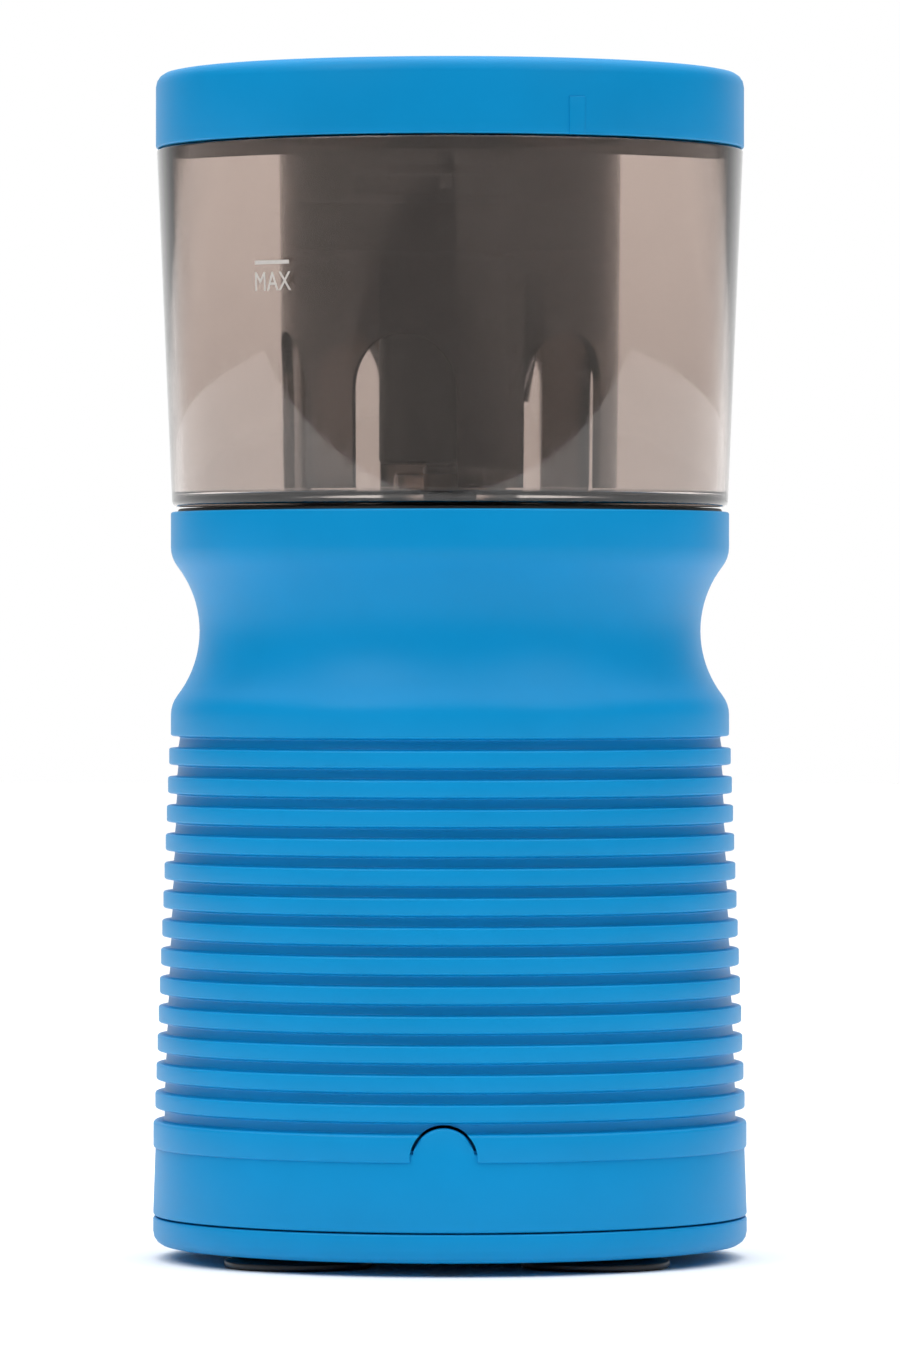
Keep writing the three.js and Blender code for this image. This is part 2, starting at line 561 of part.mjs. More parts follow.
const ROD_BOTTOM = SPINDLE_BOTTOM - ROD_END;
const ROD_TOP = TIP_Z - ROD_END;
const LEAF_TOP = ROD_BOTTOM - ROD_TRAVEL - FIT;
const LEAF_THICKNESS = 0.7;
const START_SWITCH_DEPTH = 10;
const START_SWITCH_X = -17;
const INTERLOCK_RADIUS = 2.0;
const INTERLOCK_TRAVEL = 1.5;
const INTERLOCK_COLLAR = 3.4;
const INTERLOCK_CIRCLE = 29.7;
const INTERLOCK_PLACE = around(INTERLOCK_CIRCLE, -135 * DEGREE);
const INTERLOCK_SPACE = 6.0;        // from the switch to the upper plate, for the pin's collar
const INTERLOCK_SWITCH_TOP = UPPER_PLATE_Z - INTERLOCK_SPACE;
const INTERLOCK_CHAMFER = 0.4;
const SWITCH_WIDTH = 6.5;
const SWITCH_LENGTH = 12.0;
const LEAF_WIDTH = 3.2;
const LEAF_PAST = 2.0;              // leaf's reach past the axis
const LEAF_ROOT = 0.6;              // switch's top above its leaf's
const INTERLOCK_BOTTOM = INTERLOCK_SWITCH_TOP + INTERLOCK_TRAVEL + FIT;
const INTERLOCK_COLLAR_TOP = UPPER_PLATE_Z - FIT;
const INTERLOCK_COLLAR_HEIGHT = 1.2;
const SPRING_WIRE = 0.3;            // halved
const SPRING_GAP = 0.1;
const SPRING_PLAY = 0.8;            // coil's radius beyond the pin's
const SPRING_TURNS = 4;
const SPRING_STEPS = 8;             // facets in a turn
const SPRING_SIDES = 5;             // facets round the wire

// The plate that the bin stands on, with short legs down to the gearbox.
function seatPlate() {
  const plate = rod(SEAT_RADIUS, SEAT_BOTTOM, SEAT_TOP, SHELL_SIDES);
  const legs = POST_PLACES.map(([x, y]) =>
    rod(POST_RADIUS, PLATE_TOP + FIT, SEAT_BOTTOM + PAST).translate(x, y, 0));
  const [pinX, pinY] = INTERLOCK_PLACE;
  return cut(join(plate, ...legs),
    rod(BUSH_RADIUS + FIT, SEAT_BOTTOM - PAST, SEAT_TOP + PAST, PART_SIDES),
    rod(INTERLOCK_RADIUS + RUNNING_FIT, SEAT_BOTTOM - PAST, SEAT_TOP + PAST).translate(pinX, pinY, 0));
}

function upperPlate() {
  const [pinX, pinY] = INTERLOCK_PLACE;
  return cut(rod(PLATE_RADIUS, UPPER_PLATE_Z, PLATE_TOP, PART_SIDES),
    rod(BUSH_RADIUS + FIT, UPPER_PLATE_Z - PAST, PLATE_TOP + PAST, PART_SIDES),
    rod(AXLE_RADIUS + FIT, UPPER_PLATE_Z - PAST, PLATE_TOP + PAST).translate(DRIVE_CENTRES, 0, 0),
    rod(INTERLOCK_RADIUS + RUNNING_FIT, UPPER_PLATE_Z - PAST, PLATE_TOP + PAST)
      .translate(pinX, pinY, 0));
}

function lowerPlate() {
  const screwHoles = [-1, 1].map((side) =>
    rod(SCREW_RADIUS + FIT, LOWER_PLATE_Z - PAST, LOWER_PLATE_TOP + PAST)
      .translate(0, side * MOTOR_SCREW_OFFSET, 0));
  return cut(rod(PLATE_RADIUS, LOWER_PLATE_Z, LOWER_PLATE_TOP, PART_SIDES),
    rod(DRIVE_MODULE * DRIVE_PINION_TEETH / 2 + PINION_ROOM, LOWER_PLATE_Z - PAST, LOWER_PLATE_TOP + PAST),
    rod(AXLE_RADIUS + FIT, LOWER_PLATE_Z - PAST, LOWER_PLATE_TOP + PAST)
      .translate(DRIVE_CENTRES, 0, 0),
    ...screwHoles);
}

const spindleBushing = () => turnedRing([
  [SPINDLE_RADIUS + RUNNING_FIT, UPPER_PLATE_Z - BUSH_STEP],
  [BUSH_RADIUS, UPPER_PLATE_Z - BUSH_STEP],
  [BUSH_RADIUS, PLATE_TOP + FIT],
  [BUSH_FLANGE, PLATE_TOP + FIT],
  [BUSH_FLANGE, SEAT_BOTTOM - FIT],
  [BUSH_RADIUS, SEAT_BOTTOM - FIT],
  [BUSH_RADIUS, SEAT_TOP + FIT],
  [SPINDLE_RADIUS + RUNNING_FIT, SEAT_TOP + FIT],
], PART_SIDES);

// The spindle is round in its bushing and a hexagon where the cutter carrier drops over it.
function driveSpindle() {
  const hexagon = new THREE.CylinderGeometry(HEX_RADIUS, HEX_RADIUS, HEX_TOP - SPINDLE_BOTTOM, 6)
    .rotateX(Math.PI / 2)
    .translate(0, 0, (HEX_TOP + SPINDLE_BOTTOM) / 2);
  return cut(join(rod(SPINDLE_RADIUS, SPINDLE_BOTTOM, SPINDLE_SHOULDER, PART_SIDES), hexagon),
    rod(SPINDLE_BORE, SPINDLE_BOTTOM - PAST, HEX_TOP + PAST));
}

const driveWheel = (teeth, face) =>
  extruded(toothed(teeth, DRIVE_MODULE, DRIVE_ADDENDUM, DRIVE_DEDENDUM, DRIVE_PLAY), 0, face);

const outputGear = () =>
  cut(driveWheel(WHEEL_TEETH, WHEEL_FACE), rod(SPINDLE_RADIUS + FIT, -PAST, WHEEL_FACE + PAST, PART_SIDES));

// A wheel below and a pinion above on one hub, which turn on the axle.
function intermediateGear() {
  const pinionFrom = OUTPUT_WHEEL_Z - MOTOR_WHEEL_Z - PINION_LEAD;
  const pinion = driveWheel(DRIVE_PINION_TEETH, PINION_FACE_DRIVE)
    .rotateZ(HALF_TOOTH)
    .translate(0, 0, pinionFrom);
  const hub = rod(WHEEL_HUB_RADIUS, PAST, pinionFrom + PAST);
  return cut(join(driveWheel(WHEEL_TEETH, WHEEL_FACE), hub, pinion),
    rod(AXLE_RADIUS + RUNNING_FIT, -PAST, pinionFrom + PINION_FACE_DRIVE + PAST));
}

const motorPinion = () =>
  cut(driveWheel(DRIVE_PINION_TEETH, PINION_FACE_DRIVE),
    rod(MOTOR_SHAFT_RADIUS + FIT, -PAST, PINION_FACE_DRIVE + PAST));

// ---- Motor ----------------------------------------------------------------------------------------

const MOTOR_TOP = LOWER_PLATE_Z - FIT;
const MOTOR_BOTTOM = MOTOR_TOP - MOTOR_LENGTH;
const CAN_WALL = 2.0;
const CAN_TOP = 2.6;
const ARMATURE_GAP = 2.2;
const ARMATURE_INSET = 8.0;
const BELL_STEP = 0.6;
const BELL_HEIGHT = 7.0;
const SHAFT_END = 2.0;              // shaft's end past the end bell
const SHAFT_INSET = 0.5;            // shaft's top inside its pinion
const SHAFT_TOP = MOTOR_WHEEL_Z + PINION_FACE_DRIVE - SHAFT_INSET;

const motorCan = () => cut(turned([
  [0, MOTOR_TOP - CAN_TOP],
  [MOTOR_RADIUS - CAN_WALL, MOTOR_TOP - CAN_TOP],
  [MOTOR_RADIUS - CAN_WALL, MOTOR_BOTTOM],
  [MOTOR_RADIUS, MOTOR_BOTTOM],
  [MOTOR_RADIUS, MOTOR_TOP],
  [0, MOTOR_TOP],
], PART_SIDES),
rod(MOTOR_SHAFT_RADIUS + RUNNING_FIT, MOTOR_TOP - CAN_TOP - PAST, MOTOR_TOP + PAST),
...[-1, 1].map((side) => rod(SCREW_RADIUS + FIT, MOTOR_TOP - CAN_TOP - PAST, MOTOR_TOP + PAST)
  .translate(0, side * MOTOR_SCREW_OFFSET, 0)));

const motorEndBell = () => cut(
  rod(MOTOR_RADIUS - BELL_STEP, MOTOR_BOTTOM - BELL_HEIGHT, MOTOR_BOTTOM - FIT, PART_SIDES),
  rod(MOTOR_SHAFT_RADIUS + RUNNING_FIT, MOTOR_BOTTOM - BELL_HEIGHT - PAST, MOTOR_BOTTOM));

const motorArmature = () => tube(MOTOR_SHAFT_RADIUS + FIT, MOTOR_RADIUS - CAN_WALL - ARMATURE_GAP,
  MOTOR_BOTTOM + ARMATURE_INSET, MOTOR_TOP - CAN_TOP - ARMATURE_INSET);

const motorShaft = () => rod(MOTOR_SHAFT_RADIUS, MOTOR_BOTTOM - BELL_HEIGHT - SHAFT_END, SHAFT_TOP);

// ---- Switches, board and inlet --------------------------------------------------------------------

// The tip of a pencil pushes the rod down through the spindle onto the start switch's leaf.
const pushRod = () => turned([
  [0, ROD_BOTTOM],
  [ROD_RADIUS, ROD_BOTTOM],
  [ROD_RADIUS, ROD_TOP - ROD_TIP],
  [ROD_RADIUS / 2, ROD_TOP],
  [0, ROD_TOP],
], SMALL_SIDES);

const startSwitch = () => join(
  block(START_SWITCH_DEPTH, SWITCH_WIDTH, LOWER_PLATE_TOP + FIT, LEAF_TOP + LEAF_ROOT)
    .translate(START_SWITCH_X, 0, 0),
  block(-START_SWITCH_X, LEAF_WIDTH, LEAF_TOP - LEAF_THICKNESS, LEAF_TOP)
    .translate(START_SWITCH_X / 2 + LEAF_PAST, 0, 0));

const interlockPin = () => turned([
  [0, INTERLOCK_BOTTOM],
  [INTERLOCK_RADIUS, INTERLOCK_BOTTOM],
  [INTERLOCK_RADIUS, INTERLOCK_COLLAR_TOP - INTERLOCK_COLLAR_HEIGHT],
  [INTERLOCK_COLLAR, INTERLOCK_COLLAR_TOP - INTERLOCK_COLLAR_HEIGHT],
  [INTERLOCK_COLLAR, INTERLOCK_COLLAR_TOP],
  [INTERLOCK_RADIUS, INTERLOCK_COLLAR_TOP],
  [INTERLOCK_RADIUS, SEAT_TOP - INTERLOCK_CHAMFER],
  [INTERLOCK_RADIUS - INTERLOCK_CHAMFER, SEAT_TOP],
  [0, SEAT_TOP],
], SMALL_SIDES);

// A helix of round wire between two heights.
function coilSpring(meanRadius, wire, turns, from, to) {
  const steps = turns * SPRING_STEPS;
  const points = Array.from({ length: steps + 1 }, (_, i) => {
    const angle = TAU * i / SPRING_STEPS;
    const height = from + wire + (to - from - 2 * wire) * i / steps;
    return new THREE.Vector3(meanRadius * Math.cos(angle), meanRadius * Math.sin(angle), height);
  });
  const path = new THREE.CatmullRomCurve3(points);
  const section = new THREE.Shape(new THREE.EllipseCurve(0, 0, wire, wire)
    .getPoints(SPRING_SIDES).slice(0, SPRING_SIDES));
  return new THREE.ExtrudeGeometry(section, { steps, bevelEnabled: false, extrudePath: path });
}

const interlockSpring = () => coilSpring(INTERLOCK_RADIUS + SPRING_PLAY, SPRING_WIRE, SPRING_TURNS,
  INTERLOCK_SWITCH_TOP + SPRING_GAP,
  INTERLOCK_COLLAR_TOP - INTERLOCK_COLLAR_HEIGHT - SPRING_GAP);

const interlockSwitch = () =>
  block(SWITCH_LENGTH, SWITCH_WIDTH, LOWER_PLATE_TOP + FIT, INTERLOCK_SWITCH_TOP);

const circuitBoard = () => block(BOARD_WIDTH, BOARD_DEPTH, 0, BOARD_THICKNESS);

// The inlet's block stands behind the body's wall, with its barrel in the wall's round pad.
function powerJack() {
  const face = JACK_PAD_Y - JACK_RECESS;
  const barrel = backDisc(JACK_RADIUS, face - JACK_SHOULDER + PAST, face);
  const bore = backDisc(JACK_BORE, JACK_BORE_DEPTH + PAST, face + PAST, SMALL_SIDES);
  const contact = backDisc(JACK_CONTACT, JACK_BORE_DEPTH + PAST, face - PAST, SMALL_SIDES);
  const body = block(JACK_WIDTH, JACK_DEPTH, -JACK_WIDTH / 2, JACK_WIDTH / 2)
    .translate(0, JACK_SHOULDER - JACK_DEPTH / 2, 0);
  return join(cut(join(body, barrel), bore), contact);
}

// ---- Shavings bin and lid -------------------------------------------------------------------------

// The collar in the middle keeps shavings off the spindle.
const shavingsBin = () => turnedRing([
  [BIN_COLLAR_RADIUS - BIN_COLLAR_WALL, BIN_BOTTOM],
  [BIN_BOTTOM_RADIUS - BIN_CHAMFER, BIN_BOTTOM],
  [BIN_BOTTOM_RADIUS, BIN_BOTTOM + BIN_CHAMFER],
  [BIN_TOP_RADIUS, BIN_TOP],
  [BIN_TOP_RADIUS - BIN_WALL, BIN_TOP],
  [BIN_BOTTOM_RADIUS - BIN_WALL, BIN_FLOOR_TOP],
  [BIN_COLLAR_RADIUS, BIN_FLOOR_TOP],
  [BIN_COLLAR_RADIUS, BIN_FLOOR_TOP + BIN_COLLAR_HEIGHT],
  [BIN_COLLAR_RADIUS - BIN_COLLAR_WALL, BIN_FLOOR_TOP + BIN_COLLAR_HEIGHT],
]);

const PORT_FLANGE_RADIUS = 15.0;
const PORT_FLANGE = 1.1;
const PORT_CHAMFER = 1.0;
const PORT_BODY_RADIUS = 11.4;
const PORT_LENGTH = 10.4;
const PORT_MOUTH = 18.0;
const GUARD_SCREW_PLACES = [-1, 1].map((side) =>
  around(GUARD_SCREW_CIRCLE, side * (90 * DEGREE + GUARD_SCREW_ANGLE)));

function lidCap() {
  const ceiling = LID_CROWN - LID_TOP;
  const cap = turned([
    [0, ceiling],
    [LID_RADIUS - LID_WALL, ceiling],
    [LID_RADIUS - LID_WALL, LID_BOTTOM],
    [LID_RADIUS, LID_BOTTOM],
    ...arc(LID_RADIUS - LID_CORNER, LID_CROWN - LID_CORNER, LID_CORNER, 0, 90 * DEGREE, 4),
    [0, LID_CROWN],
  ]);
  const bosses = GUARD_SCREW_PLACES.map(([x, y]) =>
    rod(SCREW_RADIUS + FIT + BOSS_WALL, GUARD_TOP + FIT, ceiling + PAST).translate(x, y, 0));
  const pilots = GUARD_SCREW_PLACES.map(([x, y]) =>
    rod(SCREW_RADIUS + FIT, GUARD_TOP, ceiling - PILOT_END).translate(x, y, 0));
  const mark = block(LID_MARK_WIDTH, LID_MARK_PROUD + PAST, LID_BOTTOM, LID_BOTTOM + LID_MARK_HEIGHT)
    .translate(0, -LID_RADIUS + (PAST - LID_MARK_PROUD) / 2, 0)
    .rotateZ(LID_MARK_ANGLE);
  return cut(join(cap, ...bosses, mark), ...pilots,
    rod(PORT_BODY_RADIUS + FIT, ceiling - PAST, LID_CROWN + PAST, PART_SIDES),
    rod(PORT_FLANGE_RADIUS + FIT, LID_CROWN - PORT_FLANGE - FIT, LID_CROWN + PAST, SHELL_SIDES));
}

// The guide for the pencil is a funnel that is flush with the lid.
const pencilPort = () => turnedRing([
  [PORT_BORE / 2, LID_CROWN - PORT_LENGTH],
  [PORT_BODY_RADIUS, LID_CROWN - PORT_LENGTH],
  [PORT_BODY_RADIUS, LID_CROWN - PORT_FLANGE],
  [PORT_FLANGE_RADIUS, LID_CROWN - PORT_FLANGE],
  [PORT_FLANGE_RADIUS, LID_CROWN],
  [PORT_MOUTH / 2, LID_CROWN],
  [PORT_BORE / 2 + PORT_CHAMFER, LID_CROWN - PORT_LENGTH / 2],
  [PORT_BORE / 2, LID_CROWN - PORT_LENGTH / 2 - PORT_CHAMFER],
], PART_SIDES);

// ---- Guard ----------------------------------------------------------------------------------------

const FLANGE_BOTTOM = GUARD_TOP - GUARD_FLANGE;
const SPIGOT_TOP_RADIUS = BIN_TOP_RADIUS - BIN_WALL - GUARD_SPIGOT_FIT;
const BEARING_DEPTH = 6.4;
const BEARING_WALL = 2.4;
const GEAR_POCKET = 0.6;            // how much of the column's wall the gear's pocket takes
const RING_GEAR_RADIUS = GUARD_TOP_RADIUS - GUARD_WALL - GEAR_POCKET;
const RING_GEAR_TOP = MESH_Z + RING_GEAR_HEIGHT / 2;
const GUARD_SHOULDER = 1.4;
const SHOULDER_HEIGHT = 2.0;        // step inside the column that the ring gear seats under

// A column with arches at its foot, hung from a flange that closes the top of the bin.
function cutterGuard() {
  const shoulderBottom = RING_GEAR_TOP + FIT;
  const shoulderRadius = RING_GEAR_RADIUS - GUARD_SHOULDER;
  const column = turnedRing([
    [GUARD_BOTTOM_RADIUS - GUARD_WALL, GUARD_BOTTOM],
    [GUARD_BOTTOM_RADIUS, GUARD_BOTTOM],
    [GUARD_TOP_RADIUS, FLANGE_BOTTOM],
    [SPIGOT_TOP_RADIUS - GUARD_SPIGOT_WALL, FLANGE_BOTTOM],
    [SPIGOT_TOP_RADIUS - GUARD_SPIGOT_WALL, GUARD_TOP - GUARD_SPIGOT],
    [SPIGOT_TOP_RADIUS, GUARD_TOP - GUARD_SPIGOT],
    [SPIGOT_TOP_RADIUS, GUARD_TOP],
    [JOURNAL_RADIUS + RUNNING_FIT, GUARD_TOP],
    [JOURNAL_RADIUS + RUNNING_FIT, GUARD_TOP - BEARING_DEPTH],
    [JOURNAL_RADIUS + RUNNING_FIT + BEARING_WALL, GUARD_TOP - BEARING_DEPTH],
    [JOURNAL_RADIUS + RUNNING_FIT + BEARING_WALL, FLANGE_BOTTOM],
    [GUARD_TOP_RADIUS - GUARD_WALL, FLANGE_BOTTOM],
    [GUARD_TOP_RADIUS - GUARD_WALL, shoulderBottom + SHOULDER_HEIGHT],
    [shoulderRadius, shoulderBottom + SHOULDER_HEIGHT],
    [shoulderRadius, shoulderBottom],
    [RING_GEAR_RADIUS + FIT, shoulderBottom],
    [RING_GEAR_RADIUS + FIT, RING_GEAR_TOP - RING_GEAR_HEIGHT - SHOULDER_HEIGHT],
  ]);
  const rib = block(SLOT_RIB_WIDTH, SLOT_RIB_PROUD + PAST,
    FLANGE_BOTTOM - SLOT_RIB_LENGTH, FLANGE_BOTTOM + PAST)
    .translate(0, -GUARD_TOP_RADIUS + (PAST - SLOT_RIB_PROUD) / 2, 0);
  const arches = Array.from({ length: ARCH_COUNT }, (_, i) => archCutter()
    .rotateZ(ARCH_ANGLE + TAU * i / ARCH_COUNT));
  const screwHoles = GUARD_SCREW_PLACES.map(([x, y]) =>
    rod(SCREW_RADIUS + FIT, FLANGE_BOTTOM - PAST, GUARD_TOP + PAST).translate(x, y, 0));
  return cut(join(column, rib), ...arches, ...screwHoles);
}

// One arch through the front of the column, from below its foot to a round head.
function archCutter() {
  const half = ARCH_WIDTH / 2;
  const springing = ARCH_HEIGHT - half;
  const outline = new THREE.Shape();
  outline.moveTo(-half, -PAST);
  outline.lineTo(half, -PAST);
  outline.lineTo(half, springing);
  outline.absarc(0, springing, half, 0, Math.PI);
  outline.closePath();
  const inner = GUARD_BOTTOM_RADIUS / 2;
  return new THREE.ExtrudeGeometry(outline,
    { depth: GUARD_TOP_RADIUS + PAST - inner, bevelEnabled: false, curveSegments: ARCH_STEPS })
    .rotateX(Math.PI / 2)
    .translate(0, -inner, GUARD_BOTTOM);
}

// ---- Cutting head -----------------------------------------------------------------------------------

const CUTTER_CLEARANCE = 0.7;
const CUTTER_STEPS = 5;             // slices along the cutter
const FLUTE_RISE = 0.12;            // where a tooth's tip begins, as a share of its pitch
const FLUTE_LAND = 0.32;            // where the tip ends
const PIN_FOOT = -4.0;
const PIN_COVER = 1.6;              // lug's wall over the pin's end
const LUG_LIFT = 5.8;               // lug above the middle of the pinion
const JOURNAL_PROUD = 3.4;          // journal above the guard
const SPACE_END = 0.5;              // room at each end of the cutter
const PIN_HOLE_END = 0.4;
const WAY_FLARE = 1.5;              // mouth of the pencil's way beyond its bore
const HUB_CHAMFER = 0.8;
const LUG_BOTTOM = MESH_Z + LUG_LIFT;
const LUG_TOP = LUG_BOTTOM + LUG_THICKNESS;
const PIN_HEAD = (LUG_TOP - PIN_COVER - TIP_Z) / Math.cos(LEAN);
const JOURNAL_TOP = GUARD_TOP + JOURNAL_PROUD;
const PINION_ADDENDUM = 0.8;
const PINION_DEDENDUM = 1.2;
const PINION_HUB_RADIUS = 3.8;
const RING_ADDENDUM = 0.8;
const RING_DEDENDUM = 1.3;
const RING_RIM_GAP = 1.5;           // from the ring gear's pitch circle to its rim
const RETAINER_WALL = 3.4;
const RETAINER_HEIGHT = 1.8;
const PINION_TIP_RADIUS = HEAD_PINION_RADIUS + PINION_ADDENDUM;
const HEAD_PLAY = 0.4;

// A shape along the leaning pin, moved to where the pin is in the carrier.
const leaning = (shape) => shape.rotateY(LEAN).translate(CUTTER_AXIS, 0, TIP_Z);

// The carrier turns on the pencil's axis. It holds the pin and guides the pencil onto the cutter.
function cutterCarrier() {
  const core = turned([
    [0, HUB_BOTTOM],
    [HUB_RADIUS - HUB_CHAMFER, HUB_BOTTOM],
    [HUB_RADIUS, HUB_BOTTOM + HUB_CHAMFER],
    [HUB_RADIUS, HUB_TOP],
    [NECK_RADIUS, HUB_TOP],
    [NECK_RADIUS, LUG_BOTTOM],
    [LUG_RADIUS, LUG_BOTTOM],
    [LUG_RADIUS, LUG_TOP],
    [JOURNAL_RADIUS, LUG_TOP],
    [JOURNAL_RADIUS, JOURNAL_TOP],
    [0, JOURNAL_TOP],
  ], PART_SIDES);
  const coneTop = TIP_Z + PENCIL_BORE / 2 / Math.tan(LEAN);
  const pencilWay = turned([
    [0, TIP_Z],
    [PENCIL_BORE / 2, coneTop],
    [PENCIL_BORE / 2, JOURNAL_TOP - WAY_FLARE],
    [PENCIL_BORE / 2 + WAY_FLARE, JOURNAL_TOP + SPACE_END],
    [0, JOURNAL_TOP + SPACE_END],
  ], PART_SIDES);
  const socket = new THREE.CylinderGeometry(HEX_RADIUS + HEX_FIT, HEX_RADIUS + HEX_FIT,
    HEX_TOP + PAST - HUB_BOTTOM, 6)
    .rotateX(Math.PI / 2)
    .translate(0, 0, (HEX_TOP + HUB_BOTTOM) / 2);
  const cutterSpace = leaning(rod(CUTTER_RADIUS + CUTTER_CLEARANCE,
    CUTTER_FOOT - SPACE_END, CUTTER_HEAD + SPACE_END, PART_SIDES));
  const pinionSpace = leaning(rod(PINION_TIP_RADIUS + CUTTER_CLEARANCE,
    CUTTER_HEAD, MESH_ALONG_PIN + PINION_FACE / 2 + 2 * SPACE_END, PART_SIDES));
  const pinHole = leaning(rod(PIN_RADIUS + FIT, PIN_FOOT - PIN_HOLE_END, PIN_HEAD + PIN_HOLE_END));
  const rodHole = rod(SPINDLE_BORE, HEX_TOP - PAST, TIP_Z + PAST);
  return cut(core, pencilWay, socket, cutterSpace, pinionSpace, pinHole, rodHole);
}

const cutterPin = () => rod(PIN_RADIUS, PIN_FOOT, PIN_HEAD);

// A milling cutter with raked flutes that wind round it.
function helicalCutter() {
  const outline = new THREE.Shape();
  const step = TAU / CUTTER_FLUTES;
  const root = CUTTER_RADIUS - CUTTER_FLUTE_DEPTH;
  const points = [];
  for (let flute = 0; flute < CUTTER_FLUTES; flute += 1) {
    for (const [radius, share] of [[root, 0], [CUTTER_RADIUS, FLUTE_RISE], [CUTTER_RADIUS, FLUTE_LAND]]) {
      const angle = step * (flute + share);
      points.push(new THREE.Vector2(radius * Math.cos(angle), radius * Math.sin(angle)));
    }
  }
  outline.setFromPoints(points);
  const blank = new THREE.ExtrudeGeometry(outline,
    { depth: CUTTER_LENGTH, steps: CUTTER_STEPS, bevelEnabled: false });
  const place = blank.attributes.position;
  for (let i = 0; i < place.count; i += 1) {
    const twist = CUTTER_TWIST * place.getZ(i) / CUTTER_LENGTH;
    const x = place.getX(i);
    const y = place.getY(i);
    place.setXY(i, x * Math.cos(twist) - y * Math.sin(twist),
      x * Math.sin(twist) + y * Math.cos(twist));
  }
  blank.translate(0, 0, CUTTER_FOOT);
  return cut(blank, rod(PIN_RADIUS + RUNNING_FIT, CUTTER_FOOT - PAST, CUTTER_HEAD + PAST));
}

// The pinion has a hub that reaches down to the cutter, and turns with it.
function cutterPinion() {
  const bottom = MESH_ALONG_PIN - PINION_FACE / 2;
  const outline = toothed(HEAD_PINION_TEETH, HEAD_MODULE, PINION_ADDENDUM, PINION_DEDENDUM, HEAD_PLAY);
  const teeth = extruded(outline, bottom, bottom + PINION_FACE);
  return cut(join(teeth, rod(PINION_HUB_RADIUS, CUTTER_HEAD + FIT, bottom + PAST)),
    rod(PIN_RADIUS + RUNNING_FIT, CUTTER_HEAD - PAST, bottom + PINION_FACE + PAST));
}

// The fixed internal gear. Its teeth are shorter than its rim.
function ringGear() {
  const rootRadius = HEAD_RING_RADIUS + RING_RIM_GAP;
  const middle = RING_GEAR_HEIGHT / 2;
  const gap = toothed(HEAD_RING_TEETH, HEAD_MODULE, RING_DEDENDUM, RING_ADDENDUM, -HEAD_PLAY);
  const rim = turnedRing([
    [rootRadius, 0],
    [RING_GEAR_RADIUS, 0],
    [RING_GEAR_RADIUS, RING_GEAR_HEIGHT],
    [rootRadius, RING_GEAR_HEIGHT],
    [rootRadius, middle + RING_GEAR_FACE / 2],
    [HEAD_RING_RADIUS - RING_ADDENDUM, middle + RING_GEAR_FACE / 2],
    [HEAD_RING_RADIUS - RING_ADDENDUM, middle - RING_GEAR_FACE / 2],
    [rootRadius, middle - RING_GEAR_FACE / 2],
  ], HEAD_RING_TEETH);
  return cut(rim, extruded(gap, -PAST, RING_GEAR_HEIGHT + PAST));
}

// A ring that is pressed on the journal, above the guard's bearing.
const carrierRetainer = () => tube(JOURNAL_RADIUS + FIT, JOURNAL_RADIUS + RETAINER_WALL,
  GUARD_TOP + FIT, GUARD_TOP + RETAINER_HEIGHT, PART_SIDES);

// ---- Assembly ---------------------------------------------------------------------------------------

const foot = new THREE.Group();
foot.add(
  piece('bottom_cover', bottomCover(), BLUE_PLASTIC),
  piece('base_ring', baseRing(), BLUE_PLASTIC),
);
CUP_PLACES.forEach(([x, y], i) => foot.add(piece(`suction_cup_${i + 1}`, suctionCup(), RUBBER, x, y)));
COVER_SCREW_PLACES.forEach(([x, y], i) => foot.add(piece(`cover_screw_${i + 1}`,
  screw(COVER_SCREW_HEAD, COVER_SCREW_SHANK), STEEL, x, y, COVER_BOTTOM + FIT)));

const body = new THREE.Group();
body.add(
  piece('body_shell', bodyShell(), BLUE_PLASTIC),
  piece('seat_plate', seatPlate(), DARK_PLASTIC),
  piece('circuit_board', circuitBoard(), BOARD, 0, BOARD_Y, BOARD_Z),
  piece('power_jack', powerJack(), DARK_PLASTIC, 0, 0, JACK_Z),
);

const gearbox = new THREE.Group();
const [pinX, pinY] = INTERLOCK_PLACE;
gearbox.add(
  piece('gearbox_upper_plate', upperPlate(), STEEL),
  piece('gearbox_lower_plate', lowerPlate(), STEEL),
  piece('intermediate_axle', rod(AXLE_RADIUS, LOWER_PLATE_Z + FIT, PLATE_TOP - FIT), STEEL,
    DRIVE_CENTRES),
  piece('spindle_bushing', spindleBushing(), BRASS),
  piece('start_switch', startSwitch(), DARK_PLASTIC),
  piece('push_rod', pushRod(), STEEL),
  piece('interlock_switch', interlockSwitch(), DARK_PLASTIC, pinX, pinY),
  piece('interlock_pin', interlockPin(), GREY_PLASTIC, pinX, pinY),
  piece('interlock_spring', interlockSpring(), STEEL, pinX, pinY),
);
POST_PLACES.forEach(([x, y], i) => gearbox.add(piece(`gearbox_post_${i + 1}`,
  rod(POST_RADIUS, LOWER_PLATE_TOP + FIT, UPPER_PLATE_Z - FIT), STEEL, x, y)));

// At rest a tooth of each wheel points at a gap of its pinion.
const outputWheel = piece('output_gear', outputGear(), GREY_PLASTIC, 0, 0, OUTPUT_WHEEL_Z);
const intermediate = piece('intermediate_gear', intermediateGear(), GREY_PLASTIC,
  DRIVE_CENTRES, 0, MOTOR_WHEEL_Z);
const pinion = piece('motor_pinion', motorPinion(), BRASS, 0, 0, MOTOR_WHEEL_Z - PINION_LEAD);
pinion.rotation.z = HALF_TOOTH;
gearbox.add(piece('drive_spindle', driveSpindle(), STEEL), outputWheel, intermediate, pinion);

